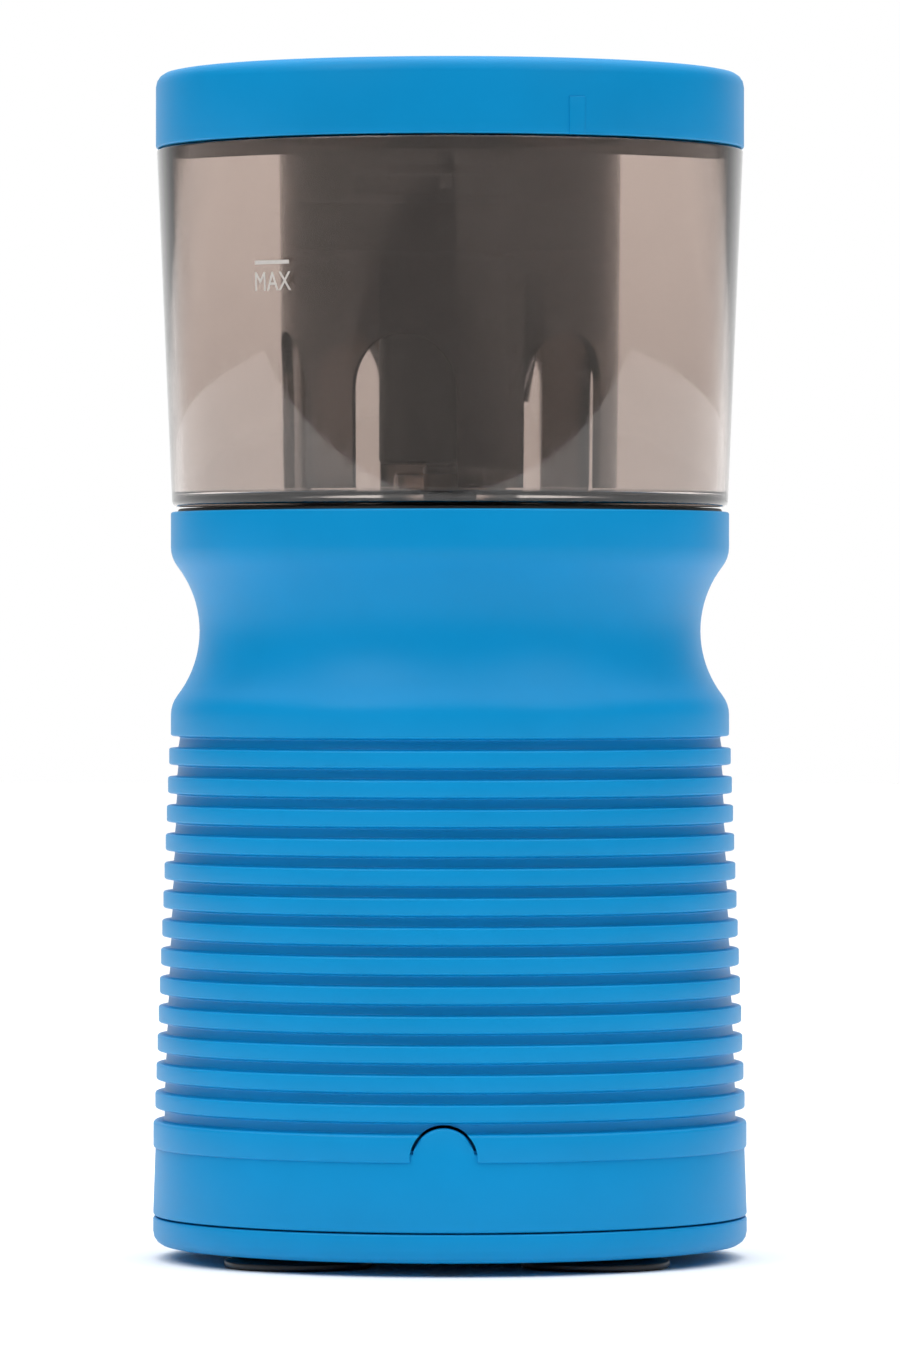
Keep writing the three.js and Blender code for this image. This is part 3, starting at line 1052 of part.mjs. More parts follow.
const motor = new THREE.Group();
motor.add(
  piece('motor_can', motorCan(), STEEL),
  piece('motor_end_bell', motorEndBell(), DARK_PLASTIC),
  piece('motor_armature', motorArmature(), BRASS),
  piece('motor_shaft', motorShaft(), HARDENED_STEEL),
);
[-1, 1].forEach((side, i) => {
  const motorScrew = piece(`motor_screw_${i + 1}`, screw(SCREW_HEAD_RADIUS, MOTOR_SCREW_LENGTH), STEEL,
    0, side * MOTOR_SCREW_OFFSET, LOWER_PLATE_TOP + FIT + SCREW_HEAD_HEIGHT);
  motorScrew.rotation.x = Math.PI;
  motor.add(motorScrew);
});

const lid = new THREE.Group();
lid.add(
  piece('lid_cap', lidCap(), BLUE_PLASTIC),
  piece('pencil_port', pencilPort(), DARK_PLASTIC),
  piece('cutter_guard', cutterGuard(), DARK_PLASTIC),
  piece('ring_gear', ringGear(), GREY_PLASTIC, 0, 0, RING_GEAR_TOP - RING_GEAR_HEIGHT),
);
GUARD_SCREW_PLACES.forEach(([x, y], i) => lid.add(piece(`guard_screw_${i + 1}`,
  screw(SCREW_HEAD_RADIUS, GUARD_SCREW_LENGTH), STEEL, x, y, FLANGE_BOTTOM - FIT - SCREW_HEAD_HEIGHT)));

const cuttingHead = new THREE.Group();
const leaningPin = new THREE.Group();
leaningPin.position.set(CUTTER_AXIS, 0, TIP_Z);
leaningPin.rotation.y = LEAN;
leaningPin.add(
  piece('cutter_pin', cutterPin(), HARDENED_STEEL),
  piece('helical_cutter', helicalCutter(), HARDENED_STEEL),
  piece('cutter_pinion', cutterPinion(), BRASS),
);
cuttingHead.add(
  piece('cutter_carrier', cutterCarrier(), DARK_PLASTIC),
  piece('carrier_retainer', carrierRetainer(), STEEL),
  leaningPin,
);

const sharpener = new THREE.Group();
sharpener.add(
  foot, body, gearbox, motor, piece('shavings_bin', shavingsBin(), SMOKED_PLASTIC), lid, cuttingHead);

export default sharpener;
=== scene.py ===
"""Looks of an upright electric pencil sharpener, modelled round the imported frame."""
import json
import math

import bpy
from mathutils import Matrix, Vector


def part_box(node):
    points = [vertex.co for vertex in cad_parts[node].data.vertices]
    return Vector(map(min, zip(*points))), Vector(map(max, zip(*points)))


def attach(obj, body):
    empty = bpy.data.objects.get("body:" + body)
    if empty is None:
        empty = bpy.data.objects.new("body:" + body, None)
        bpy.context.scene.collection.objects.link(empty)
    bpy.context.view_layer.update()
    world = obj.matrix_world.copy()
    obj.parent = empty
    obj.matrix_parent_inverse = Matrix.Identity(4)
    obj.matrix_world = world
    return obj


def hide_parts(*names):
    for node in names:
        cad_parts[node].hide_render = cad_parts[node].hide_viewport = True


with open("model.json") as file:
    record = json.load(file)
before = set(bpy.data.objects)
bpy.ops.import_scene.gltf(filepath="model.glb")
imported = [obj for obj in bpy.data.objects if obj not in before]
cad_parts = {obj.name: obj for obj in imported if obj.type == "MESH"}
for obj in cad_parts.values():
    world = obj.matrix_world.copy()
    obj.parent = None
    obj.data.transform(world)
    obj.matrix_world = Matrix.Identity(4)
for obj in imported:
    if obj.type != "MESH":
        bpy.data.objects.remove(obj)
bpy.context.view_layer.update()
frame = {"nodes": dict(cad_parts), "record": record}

bl_info = {
    "name": "Upright Electric Pencil Sharpener",
    "version": (1, 0, 0),
    "blender": (4, 5, 0),
    "location": "3D View > Sidebar > Sharpener",
    "description": "Models the casings, bin, cutting head and stage of an upright pencil sharpener",
    "category": "Object",
}

MM = 0.001
TURN_STEPS = 128          # faces round a large turned piece
SMALL_STEPS = 48          # faces round a screw, pin or bush

ON_FACE = 0.01 * MM       # how near a point is to a face that it belongs to
ON_CURVE = 0.03 * MM      # the same, for a curved face made of flat ones
CRISP = 0.2 * MM          # round on a crisp edge
FINE = 0.3 * MM           # round on a fine edge
SLIGHT = 0.4 * MM         # round on a slightly softer edge
EASED = 0.5 * MM          # round on an eased edge
BLUNT = 0.6 * MM          # round on a blunt edge

FEELER_BORE = 2.2 * MM    # way for the feeler rod, in the spindle and in the carrier
PIN_RADIUS = 2 * MM       # the pin that the cutter turns on
PIN_FOOT = -4 * MM        # the pin's lower end, along its axis from the joint's place
PIN_HEAD = 37.4 * MM      # its upper end, from the same place
PIN_HOLE = 2.3 * MM       # hole for the pin in the carrier
CUTTER_BORE = 2.35 * MM   # hole for the pin in the cutter
HEXAGON_ROOM = 5.35 * MM  # hexagon socket in the carrier's foot, to its corners
HEXAGON_DEPTH = 8.1 * MM
BEARING_DEPTH = 6.4 * MM  # from the guard's top to the foot of its bearing
BEARING_WALL = 2.4 * MM
CUTTER_SLICES = 20        # slices along the cutter's twist


# ---- Places read from the frame ------------------------------------------------------------------


def bottom(node):
    """Height of a CAD node's lowest point."""
    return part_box(node)[0].z


def top(node):
    """Height of a CAD node's highest point."""
    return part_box(node)[1].z


def radius_of(node):
    """Half the width of a CAD node, which is its radius where it is round."""
    low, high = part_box(node)
    return (high.x - low.x) / 2


def middle_of(node):
    """Centre of a CAD node's box."""
    low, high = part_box(node)
    return (low + high) / 2


def linear(code):
    """An sRGB hex colour, such as '#0089c1', as linear red, green and blue."""
    channels = [int(code[i:i + 2], 16) / 255 for i in (1, 3, 5)]
    return [c / 12.92 if c <= 0.04045 else ((c + 0.055) / 1.055) ** 2.4 for c in channels]


# ---- Sizes and colours that a user would change --------------------------------------------------


def length(name, description, default_mm):
    """A property for a length, given in millimetres and held in metres."""
    return bpy.props.FloatProperty(name=name, description=description, default=default_mm * MM,
                                   unit="LENGTH", precision=5)


def angle(name, description, default_degrees):
    """A property for an angle, given in degrees."""
    return bpy.props.FloatProperty(name=name, description=description,
                                   default=math.radians(default_degrees), subtype="ANGLE")


def count(name, description, default, least):
    """A property for a whole number, with the least it can be."""
    return bpy.props.IntProperty(name=name, description=description, default=default, min=least)


def colour(name, description, code):
    """A property for a colour, given as an sRGB hex code."""
    return bpy.props.FloatVectorProperty(name=name, description=description, size=3,
                                         default=linear(code), subtype="COLOR", min=0, max=1)


class SharpenerSizes(bpy.types.PropertyGroup):
    """Sizes of the visible pieces that the frame's boxes don't give."""

    edge: length("Edge", "Round on a moulded edge", 0.45)
    gap: length("Gap", "Gap between two pieces that touch", 0.3)
    wall: length("Wall", "Thickness of the blue casings", 2.2)

    cover_corner: length("Cover Corner", "Round on the bottom cover's lower edge", 4.5)
    cover_floor: length("Cover Floor", "Thickness of the bottom cover's floor", 2.7)
    cover_height: length("Cover Height", "Height of the bottom cover's side", 5.4)
    pocket_radius: length("Pocket Radius", "Radius of a suction cup's pocket", 11.5)
    pocket_depth: length("Pocket Depth", "Depth of a suction cup's pocket", 3.0)
    cup_neck: length("Cup Neck", "Radius of a suction cup's neck", 2.6)
    cup_lip: length("Cup Lip", "Thickness of a suction cup's lip", 1.2)
    cup_hollow: length("Cup Hollow", "Rise of the hollow under a suction cup", 2.9)
    button_height: length("Button Height", "Height of the button over a cup's neck", 1.7)
    screw_head: length("Screw Head", "Height of a screw's head", 1.8)
    screw_shank: length("Screw Shank", "Radius of a screw's shank", 1.4)

    ring_draft: length("Ring Draft", "How much narrower the base ring is at its top", 0.5)
    ring_height: length("Ring Height", "From the bottom cover to the base ring's shoulder", 14.4)
    ring_wall: length("Ring Wall", "Thickness of the base ring", 2.5)
    ring_step: length("Ring Step", "Inset of the lip that the body stands on", 0.9)
    ring_lip: length("Ring Lip", "Height of the lip that the body stands on", 0.6)
    tab_radius: length("Tab Radius", "Radius of the key tab at the front", 5.7)
    tab_rise: length("Tab Rise", "Height of the key tab above the base ring", 4.7)
    tab_clearance: length("Tab Clearance", "Gap round the key tab", 0.55)
    tab_thickness: length("Tab Thickness", "Depth of the key tab", 2.0)

    band_height: length("Band Height", "Height of the thick band under the ribs", 5.15)
    rib_count: count("Ribs", "Number of grip ribs", 13, 1)
    rib_pitch: length("Rib Pitch", "From one rib to the next", 5.39)
    rib_height: length("Rib Height", "Height of a rib's outer face", 3.09)
    rib_depth: length("Rib Depth", "Depth of a groove between ribs", 1.75)
    rib_slope: length("Rib Slope", "Slope of a groove's side", 0.15)
    rib_round: length("Rib Round", "Round on a rib's edge", 0.4)
    rib_root: length("Rib Root", "Round at the foot of a groove", 0.35)
    grip_flare: length("Grip Flare", "Each rib beyond the one above it", 0.219)
    band_step: length("Band Step", "Thick band beyond the lowest rib", 0.35)
    body_radius: length("Body Radius", "Smooth wall above and below the waist", 52.65)
    collar_height: length("Collar Height", "Smooth wall between the top rib and the waist", 6.15)
    waist_height: length("Waist Height", "Height of the hollow waist", 27.2)
    waist_depth: length("Waist Depth", "Depth of the hollow waist", 5.4)
    waist_blend: length("Waist Blend", "Round where the waist meets the smooth wall", 6.0)
    spigot_length: length("Spigot Length", "How far the body reaches into the base ring", 13.0)
    spigot_wall: length("Spigot Wall", "Thickness of the wall inside the base ring", 2.0)

    pad_radius: length("Pad Radius", "Radius of the pad round the power inlet", 8.0)
    pad_step: length("Pad Step", "How far the pad is inside the lowest rib", 0.6)
    jack_radius: length("Inlet Radius", "Radius of the power inlet's barrel", 4.4)
    jack_bore: length("Inlet Bore", "Radius of the power inlet's bore", 2.75)
    jack_block: length("Inlet Block", "Depth of the block behind the power inlet", 14.0)

    bin_flare: length("Bin Flare", "How much wider the bin is at its top", 2.9)
    bin_wall: length("Bin Wall", "Thickness of the bin's wall", 2.0)
    bin_floor: length("Bin Floor", "Thickness of the bin's floor", 1.8)
    collar_radius: length("Collar Radius", "Radius of the bin's middle collar", 10.6)
    collar_wall: length("Collar Wall", "Thickness of the bin's middle collar", 1.6)
    bin_collar_height: length("Bin Collar Height", "Height of the bin's middle collar", 4.2)

    mark_size: length("Mark Size", "Height of the fill mark's capitals", 3.6)
    mark_height: length("Mark Height", "Height of the fill line above the bin's foot", 44.5)
    mark_line: length("Mark Line", "Length of the fill line", 8.0)
    mark_bar: length("Mark Bar", "Height of the fill line", 0.7)
    mark_gap: length("Mark Gap", "From the fill line to the word under it", 1.6)
    mark_ink: length("Mark Ink", "Thickness of the printed ink", 0.06)
    mark_width: bpy.props.FloatProperty(name="Mark Width", description="Width of the letters, of 1",
                                        default=0.78, min=0.1)
    mark_angle: angle("Mark Angle", "Place of the fill mark, to the right of the front", -36)

    seat_thickness: length("Seat Thickness", "Thickness of the plate under the bin", 2.8)
    hexagon_length: length("Hexagon Length", "Hexagon at the top of the spindle", 8.2)

    lid_step: length("Lid Step", "Lid beyond the bin's top", 0.17)
    lid_corner: length("Lid Corner", "Round on the lid's upper edge", 2.7)
    lid_top: length("Lid Top", "Thickness of the lid's top", 2.6)
    index_proud: length("Index Proud", "How far the index mark stands out", 0.2)
    boss_radius: length("Boss Radius", "Radius of a boss under the lid", 3.6)
    index_width: length("Index Width", "Width of the index mark on the lid", 3.2)
    index_height: length("Index Height", "Height of the index mark on the lid", 7.0)
    index_angle: angle("Index Angle", "Place of the index mark, to the right of the front", 26)

    guard_taper: length("Guard Taper", "How much wider the guard is at its top", 0.8)
    guard_wall: length("Guard Wall", "Thickness of the guard's column", 2.0)
    guard_flange: length("Guard Flange", "Thickness of the guard's flange", 2.5)
    guard_spigot: length("Guard Spigot", "How far the flange's rim reaches into the bin", 3.2)
    arch_count: count("Arches", "Number of arches", 6, 1)
    arch_width: length("Arch Width", "Width of an arch", 20.0)
    arch_height: length("Arch Height", "Height of an arch", 28.7)
    arch_angle: angle("Arch Angle", "Place of the first arch, to the right of the front", -15)

    slot_width: length("Slot Width", "Width of the rib at the guard's front", 2.2)
    slot_length: length("Slot Length", "Length of the rib at the guard's front", 8.3)
    bearing_radius: length("Bearing Radius", "Bore in the flange that the carrier turns in", 12.05)

    hub_radius: length("Hub Radius", "Radius of the carrier's hub", 13.4)
    hub_length: length("Hub Length", "Length of the carrier's hub", 37.0)
    neck_radius: length("Neck Radius", "Radius of the carrier's neck", 8.6)
    lug_radius: length("Lug Radius", "Radius of the lug that holds the pin's head", 18.0)
    lug_height: length("Lug Height", "Thickness of the lug", 3.6)
    journal_radius: length("Journal Radius", "Radius of the carrier's journal", 11.7)
    journal_length: length("Journal Length", "From the lug to the top of the journal", 11.61)
    pencil_bore: length("Pencil Bore", "Width of the pencil's way", 8.6)
    pinion_room: length("Pinion Room", "Radius of the room for the cutter's pinion", 8.0)
    flute_depth: length("Flute Depth", "Depth of the cutter's flutes", 0.9)

    port_mouth: length("Port Mouth", "Width of the pencil port's mouth", 18.0)
    port_body: length("Port Body", "Radius of the port inside the lid", 11.4)
    port_flange: length("Port Flange", "Thickness of the port's flange", 1.1)
    port_bore: length("Port Bore", "Width of the pencil port's bore", 9.4)
    cutter_radius: length("Cutter Radius", "Radius of the milling cutter", 7.5)
    cutter_length: length("Cutter Length", "Length of the milling cutter", 25.0)
    cutter_flutes: count("Flutes", "Number of flutes", 16, 3)
    cutter_twist: angle("Cutter Twist", "Turn of the flutes along the cutter", 70)


class SharpenerColours(bpy.types.PropertyGroup):
    """Colours of the finishes."""

    casing: colour("Casing", "Blue of the moulded casings", "#008cc8")
    bin_tint: colour("Bin Tint", "Tint of the clear bin, for one wall", "#d2c7c1")
    guard_tint: colour("Guard Tint", "Tint of the dark smoked guard", "#5a504a")
    black: colour("Black", "Black of the inner mouldings", "#191817")
    rubber: colour("Rubber", "Near-black of the suction cups", "#0d0b10")
    acetal: colour("Acetal", "Off-white of the gears", "#d9d4c8")
    steel: colour("Steel", "Zinc-plated steel", "#b9bbbd")
    tool_steel: colour("Tool Steel", "Ground tool steel of the cutter", "#8d8e90")
    brass: colour("Brass", "Machined brass", "#c29a4b")
    copper: colour("Copper", "Lacquered winding wire", "#a4582c")
    board: colour("Board", "Solder mask of the circuit board", "#1f5a35")
    ink: colour("Ink", "Pad-printed fill mark", "#c9c4c0")
    floor: colour("Floor", "Pale floor and backdrop", "#ffffff")


# ---- Modelling -----------------------------------------------------------------------------------


def deselect_all():
    """Leaves nothing selected, so that an operator acts only on what is selected next."""
    if bpy.context.object and bpy.context.object.mode != "OBJECT":
        bpy.ops.object.mode_set(mode="OBJECT")
    bpy.ops.object.select_all(action="DESELECT")


def activate(piece):
    """Selects one piece and makes it the active one."""
    deselect_all()
    piece.select_set(True)
    bpy.context.view_layer.objects.active = piece


def arc_points(centre, radius, start, end, steps):
    """Points on an arc in the profile plane, with both ends."""
    turns = [start + (end - start) * i / steps for i in range(steps + 1)]
    return [(centre[0] + radius * math.cos(t), centre[1] + radius * math.sin(t)) for t in turns]


def filleted(corners, steps=4):
    """Rounds the corners of a profile. A corner is (radius, height) or (radius, height, fillet)."""
    points = []
    last = len(corners) - 1
    for i, corner in enumerate(corners):
        here = Vector(corner[:2])
        fillet = corner[2] if len(corner) > 2 and 0 < i < last else 0
        if fillet == 0:
            points.append(tuple(here))
            continue
        back = Vector(corners[i - 1][:2]) - here
        ahead = Vector(corners[i + 1][:2]) - here
        half = back.angle(ahead) / 2
        reach = min(fillet / math.tan(half), 0.49 * back.length, 0.49 * ahead.length)
        true_radius = reach * math.tan(half)
        start = here + back.normalized() * reach
        end = here + ahead.normalized() * reach
        centre = here + (back.normalized() + ahead.normalized()).normalized() \
            * true_radius / math.sin(half)
        first = math.atan2(*(start - centre).yx)
        turn = math.atan2(*(end - centre).yx) - first
        turn = (turn + math.pi) % math.tau - math.pi
        points += arc_points(centre, true_radius, first, first + turn, steps)
    return points


def turned(name, corners, closed=False, steps=TURN_STEPS, at=(0, 0)):
    """Draws a profile point by point and spins it about an upright axis.
    A closed profile is a ring's section, and an open one starts and ends on the axis."""
    points = filleted(corners)
    deselect_all()
    x, y = at
    bpy.ops.mesh.primitive_plane_add(size=MM, location=(x + points[0][0], y, points[0][1]))
    piece = bpy.context.object
    bpy.ops.object.mode_set(mode="EDIT")
    bpy.ops.mesh.merge(type="CENTER")
    route = points[1:] + ([points[0]] if closed else [])
    here = points[0]
    for place in route:
        step = (place[0] - here[0], 0, place[1] - here[1])
        bpy.ops.mesh.extrude_vertices_move(TRANSFORM_OT_translate={"value": step})
        here = place
    bpy.ops.mesh.select_all(action="SELECT")
    bpy.ops.mesh.spin(steps=steps, angle=math.tau, center=(x, y, 0), axis=(0, 0, 1))
    bpy.ops.mesh.select_all(action="SELECT")
    bpy.ops.mesh.remove_doubles(threshold=0.002 * MM)
    bpy.ops.mesh.normals_make_consistent(inside=False)
    bpy.ops.object.mode_set(mode="OBJECT")
    return settled(piece, name)


def settled(piece, name, smooth=30):
    """Names a piece, puts its place into its mesh and shades it smooth between its edges."""
    activate(piece)
    piece.name = name
    piece.data.name = name
    bpy.ops.object.transform_apply(location=True, rotation=True, scale=True)
    bpy.ops.object.shade_smooth_by_angle(angle=math.radians(smooth))
    return piece


def apply_modifier(piece, kind, **settings):
    """Adds one modifier to a piece with its settings, and applies it."""
    activate(piece)
    modifier = piece.modifiers.new(kind.title(), kind)
    for name, value in settings.items():
        setattr(modifier, name, value)
    bpy.ops.object.modifier_apply(modifier=modifier.name)


def carve(piece, *tools, operation="DIFFERENCE"):
    """Cuts each tool out of a piece, or joins it on, and removes the tool."""
    for tool in tools:
        apply_modifier(piece, "BOOLEAN", object=tool, operation=operation, solver="EXACT")
        bpy.data.objects.remove(tool)
    return settled(piece, piece.name)


def soften(piece, offset, wanted, segments=3):
    """Bevels the edges of a piece that a test picks out by their two ends."""
    activate(piece)
    bpy.ops.object.mode_set(mode="EDIT")
    bpy.ops.mesh.select_all(action="DESELECT")
    bpy.ops.object.mode_set(mode="OBJECT")
    points = piece.data.vertices
    for edge in piece.data.edges:
        edge.select = wanted([points[i].co for i in edge.vertices])
    bpy.ops.object.mode_set(mode="EDIT")
    bpy.ops.mesh.select_mode(type="EDGE")
    bpy.ops.mesh.bevel(offset=offset, segments=segments, affect="EDGES")
    bpy.ops.mesh.select_mode(type="VERT")
    bpy.ops.object.mode_set(mode="OBJECT")
    return settled(piece, piece.name)


def level_with(axis, place):
    """A test for soften, which is true if an edge lies on the plane across an axis at a place."""
    return lambda ends: all(abs(point[axis] - place) < ON_FACE for point in ends)


def round_bar(radius, start, end, steps=SMALL_STEPS):
    """A plain cylinder between two points, to cut with or to build on."""
    start, end = Vector(start), Vector(end)
    deselect_all()
    way = (end - start).to_track_quat("Z", "Y").to_euler()
    bpy.ops.mesh.primitive_cylinder_add(vertices=steps, radius=radius, depth=(end - start).length,
                                        location=(start + end) / 2, rotation=way)
    return settled(bpy.context.object, "bar")


def square_bar(size, place, bevel=0.0, turn=0.0):
    """A box with bevelled edges, turned about the upright axis through the origin."""
    deselect_all()
    spot = Matrix.Rotation(turn, 4, "Z") @ Vector(place)
    bpy.ops.mesh.primitive_cube_add(size=1, location=spot, rotation=(0, 0, turn))
    piece = bpy.context.object
    bpy.ops.object.mode_set(mode="EDIT")
    bpy.ops.transform.resize(value=size, orient_type="LOCAL")
    if bevel:
        bpy.ops.mesh.bevel(offset=bevel, segments=3, affect="EDGES")
    bpy.ops.object.mode_set(mode="OBJECT")
    return settled(piece, "block")


def copied(piece, name, move=(0, 0, 0), turn=0.0):
    """A copy of a finished piece with a mesh of its own, turned about the axis and moved."""
    twin = piece.copy()
    twin.data = piece.data.copy()
    bpy.context.scene.collection.objects.link(twin)
    twin.matrix_world = Matrix.Translation(move) @ Matrix.Rotation(turn, 4, "Z")
    return settled(twin, name)


def around(radius, place):
    """A point on a circle, with the angle measured from the front, positive to the right."""
    return radius * math.sin(place), -radius * math.cos(place)


def placed(piece, body, finish, slot, *nodes):
    """Gives a piece its finish and the body it rides on, and hides the CAD nodes it stands for."""
    piece.data.materials.clear()
    piece.data.materials.append(finish)
    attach(piece, body)
    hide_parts(*nodes)
    return piece


def refinished(node, finish):
    """Gives a CAD node that keeps its shape a finish of this script."""
    materials = frame["nodes"][node].data.materials
    materials.clear()
    materials.append(finish)


# ---- Finishes ------------------------------------------------------------------------------------


def add_node(tree, kind, sockets=None, stops=(), **settings):
    """Adds a node with its settings. A socket's value is linked if it is another node's output, and
    the stops are the colours of a ramp."""
    node = tree.nodes.new(kind)
    for i, stop in enumerate(stops):
        node.color_ramp.elements[i].color = stop
    for name, value in settings.items():
        setattr(node, name, value)
    for name, value in (sockets or {}).items():
        if isinstance(value, bpy.types.NodeSocket):
            tree.links.new(value, node.inputs[name])
        else:
            node.inputs[name].default_value = value
    return node


def new_finish(name):
    """An empty material, its node tree and the output of its Object coordinates, in metres."""
    material = bpy.data.materials.new(name)
    material.use_nodes = True
    tree = material.node_tree
    tree.nodes.clear()
    place = add_node(tree, "ShaderNodeTexCoord").outputs["Object"]
    return material, tree, place


def per(size_mm):
    """A texture's scale for features of a real size in millimetres."""
    return 1 / (size_mm * MM)


def shade(value, factor):
    """A colour made lighter or darker, with its alpha."""
    return [min(1.0, channel * factor) for channel in value] + [1.0]


def moulded_abs(value):
    """Satin ABS, injection moulded in a spark-eroded tool: an even colour, a soft broad gloss, and
    a grain that breaks up the highlight. The real grain is 0.1 mm, drawn at 0.45 mm to show."""
    material, tree, place = new_finish("moulded_abs_blue")
    clouds = add_node(tree, "ShaderNodeTexNoise", {"Vector": place, "Scale": per(22), "Detail": 3})
    tone = add_node(tree, "ShaderNodeValToRGB", {"Fac": clouds.outputs["Fac"]})
    tone.color_ramp.elements[0].position = 0.3
    tone.color_ramp.elements[0].color = shade(value, 0.965)
    tone.color_ramp.elements[1].position = 0.7
    tone.color_ramp.elements[1].color = shade(value, 1.03)
    grain = add_node(tree, "ShaderNodeTexNoise",
                     {"Vector": place, "Scale": per(0.45), "Detail": 4, "Roughness": 0.6})
    gloss = add_node(tree, "ShaderNodeMapRange",
                     {"Value": clouds.outputs["Fac"], "To Min": 0.36, "To Max": 0.46})
    relief = add_node(tree, "ShaderNodeBump",
                      {"Height": grain.outputs["Fac"], "Strength": 0.12, "Distance": 0.05 * MM})
    shader = add_node(tree, "ShaderNodeBsdfPrincipled", {
        "Base Color": tone.outputs["Color"], "Roughness": gloss.outputs["Result"], "IOR": 1.54,
        "Specular IOR Level": 0.15, "Normal": relief.outputs["Normal"]})
    add_node(tree, "ShaderNodeOutputMaterial", {"Surface": shader.outputs["BSDF"]})
    return material


def smoked_styrene(name, value, transmission, roughness):
    """Clear styrene-acrylonitrile with a smoke tint, moulded in a polished tool: sharp reflections,
    very faint flow waves a few centimetres long, and hairline scuffs that run up the wall."""
    material, tree, place = new_finish(name)
    waves = add_node(tree, "ShaderNodeTexNoise", {"Vector": place, "Scale": per(28), "Detail": 1})
    upright = add_node(tree, "ShaderNodeMapping", {"Vector": place, "Scale": (1, 1, 0.02)})
    scuffs = add_node(tree, "ShaderNodeTexNoise",
                      {"Vector": upright.outputs["Vector"], "Scale": per(1.1), "Detail": 5})
    gloss = add_node(tree, "ShaderNodeMapRange", {
        "Value": scuffs.outputs["Fac"], "From Min": 0.45, "From Max": 0.75,
        "To Min": roughness, "To Max": roughness + 0.07})
    relief = add_node(tree, "ShaderNodeBump",
                      {"Height": waves.outputs["Fac"], "Strength": 0.25, "Distance": 0.25 * MM})
    tone = add_node(tree, "ShaderNodeValToRGB", {"Fac": waves.outputs["Fac"]},
                    stops=(shade(value, 0.98), shade(value, 1.02)))
    shader = add_node(tree, "ShaderNodeBsdfPrincipled", {
        "Base Color": tone.outputs["Color"], "Roughness": gloss.outputs["Result"], "IOR": 1.57,
        "Transmission Weight": transmission, "Normal": relief.outputs["Normal"]})
    add_node(tree, "ShaderNodeOutputMaterial", {"Surface": shader.outputs["BSDF"]})
    return material


def moulded_nylon(name, value, roughness):
    """Glass-filled nylon or acetal, moulded: a dull sheen with a mottle of glass fibres just under
    the skin, and a fine grain. The real grain is 0.05 mm, drawn at 0.3 mm to show."""
    material, tree, place = new_finish(name)
    fibres = add_node(tree, "ShaderNodeTexNoise",
                      {"Vector": place, "Scale": per(1.4), "Detail": 6, "Roughness": 0.7})
    tone = add_node(tree, "ShaderNodeValToRGB", {"Fac": fibres.outputs["Fac"]},
                    stops=(shade(value, 0.9), shade(value, 1.12)))
    grain = add_node(tree, "ShaderNodeTexVoronoi", {"Vector": place, "Scale": per(0.3)})
    gloss = add_node(tree, "ShaderNodeMapRange", {
        "Value": fibres.outputs["Fac"], "To Min": roughness - 0.06, "To Max": roughness + 0.08})
    relief = add_node(tree, "ShaderNodeBump", {
        "Height": grain.outputs["Distance"], "Strength": 0.06, "Distance": 0.03 * MM})
    shader = add_node(tree, "ShaderNodeBsdfPrincipled", {
        "Base Color": tone.outputs["Color"], "Roughness": gloss.outputs["Result"], "IOR": 1.5,
        "Normal": relief.outputs["Normal"]})
    add_node(tree, "ShaderNodeOutputMaterial", {"Surface": shader.outputs["BSDF"]})
    return material


def soft_pvc(value):
    """Plasticised PVC, moulded in a polished tool: near black with a violet tinge, a wet gloss that
    clouds where plasticiser blooms, and dust that clings to it in specks of about 0.3 mm."""
    material, tree, place = new_finish("soft_pvc_cup")
    bloom = add_node(tree, "ShaderNodeTexNoise", {"Vector": place, "Scale": per(6), "Detail": 4})
    specks = add_node(tree, "ShaderNodeTexVoronoi", {"Vector": place, "Scale": per(2.2)})
    dust = add_node(tree, "ShaderNodeMapRange", {
        "Value": specks.outputs["Distance"], "From Min": 0.05, "From Max": 0.12,
        "To Min": 0.15, "To Max": 0.0})
    tone = add_node(tree, "ShaderNodeMix", data_type="RGBA", blend_type="MIX")
    tree.links.new(dust.outputs["Result"], tone.inputs["Factor"])
    tone.inputs["A"].default_value = shade(value, 1.0)
    tone.inputs["B"].default_value = shade(value, 5.0)
    gloss = add_node(tree, "ShaderNodeMapRange",
                     {"Value": bloom.outputs["Fac"], "To Min": 0.22, "To Max": 0.42})
    shader = add_node(tree, "ShaderNodeBsdfPrincipled", {
        "Base Color": tone.outputs[2], "Roughness": gloss.outputs["Result"], "IOR": 1.53})
    add_node(tree, "ShaderNodeOutputMaterial", {"Surface": shader.outputs["BSDF"]})
    return material


def zinc_plate(value):
    """Steel with bright zinc plate, barrel plated: grey, with crystal spangle a few millimetres
    across and rub marks from other parts in the barrel."""
    material, tree, place = new_finish("zinc_plated_steel")
    spangle = add_node(tree, "ShaderNodeTexVoronoi", {"Vector": place, "Scale": per(2.5)})
    tone = add_node(tree, "ShaderNodeValToRGB", {"Fac": spangle.outputs["Distance"]},
                    stops=(shade(value, 1.05), shade(value, 0.82)))
    rubs = add_node(tree, "ShaderNodeTexNoise",
                    {"Vector": place, "Scale": per(0.8), "Detail": 6, "Distortion": 0.6})
    gloss = add_node(tree, "ShaderNodeMapRange",
                     {"Value": rubs.outputs["Fac"], "To Min": 0.22, "To Max": 0.46})
    relief = add_node(tree, "ShaderNodeBump",
                      {"Height": rubs.outputs["Fac"], "Strength": 0.15, "Distance": 0.03 * MM})
    shader = add_node(tree, "ShaderNodeBsdfPrincipled", {
        "Base Color": tone.outputs["Color"], "Roughness": gloss.outputs["Result"], "Metallic": 1.0,
        "Normal": relief.outputs["Normal"]})
    add_node(tree, "ShaderNodeOutputMaterial", {"Surface": shader.outputs["BSDF"]})
    return material


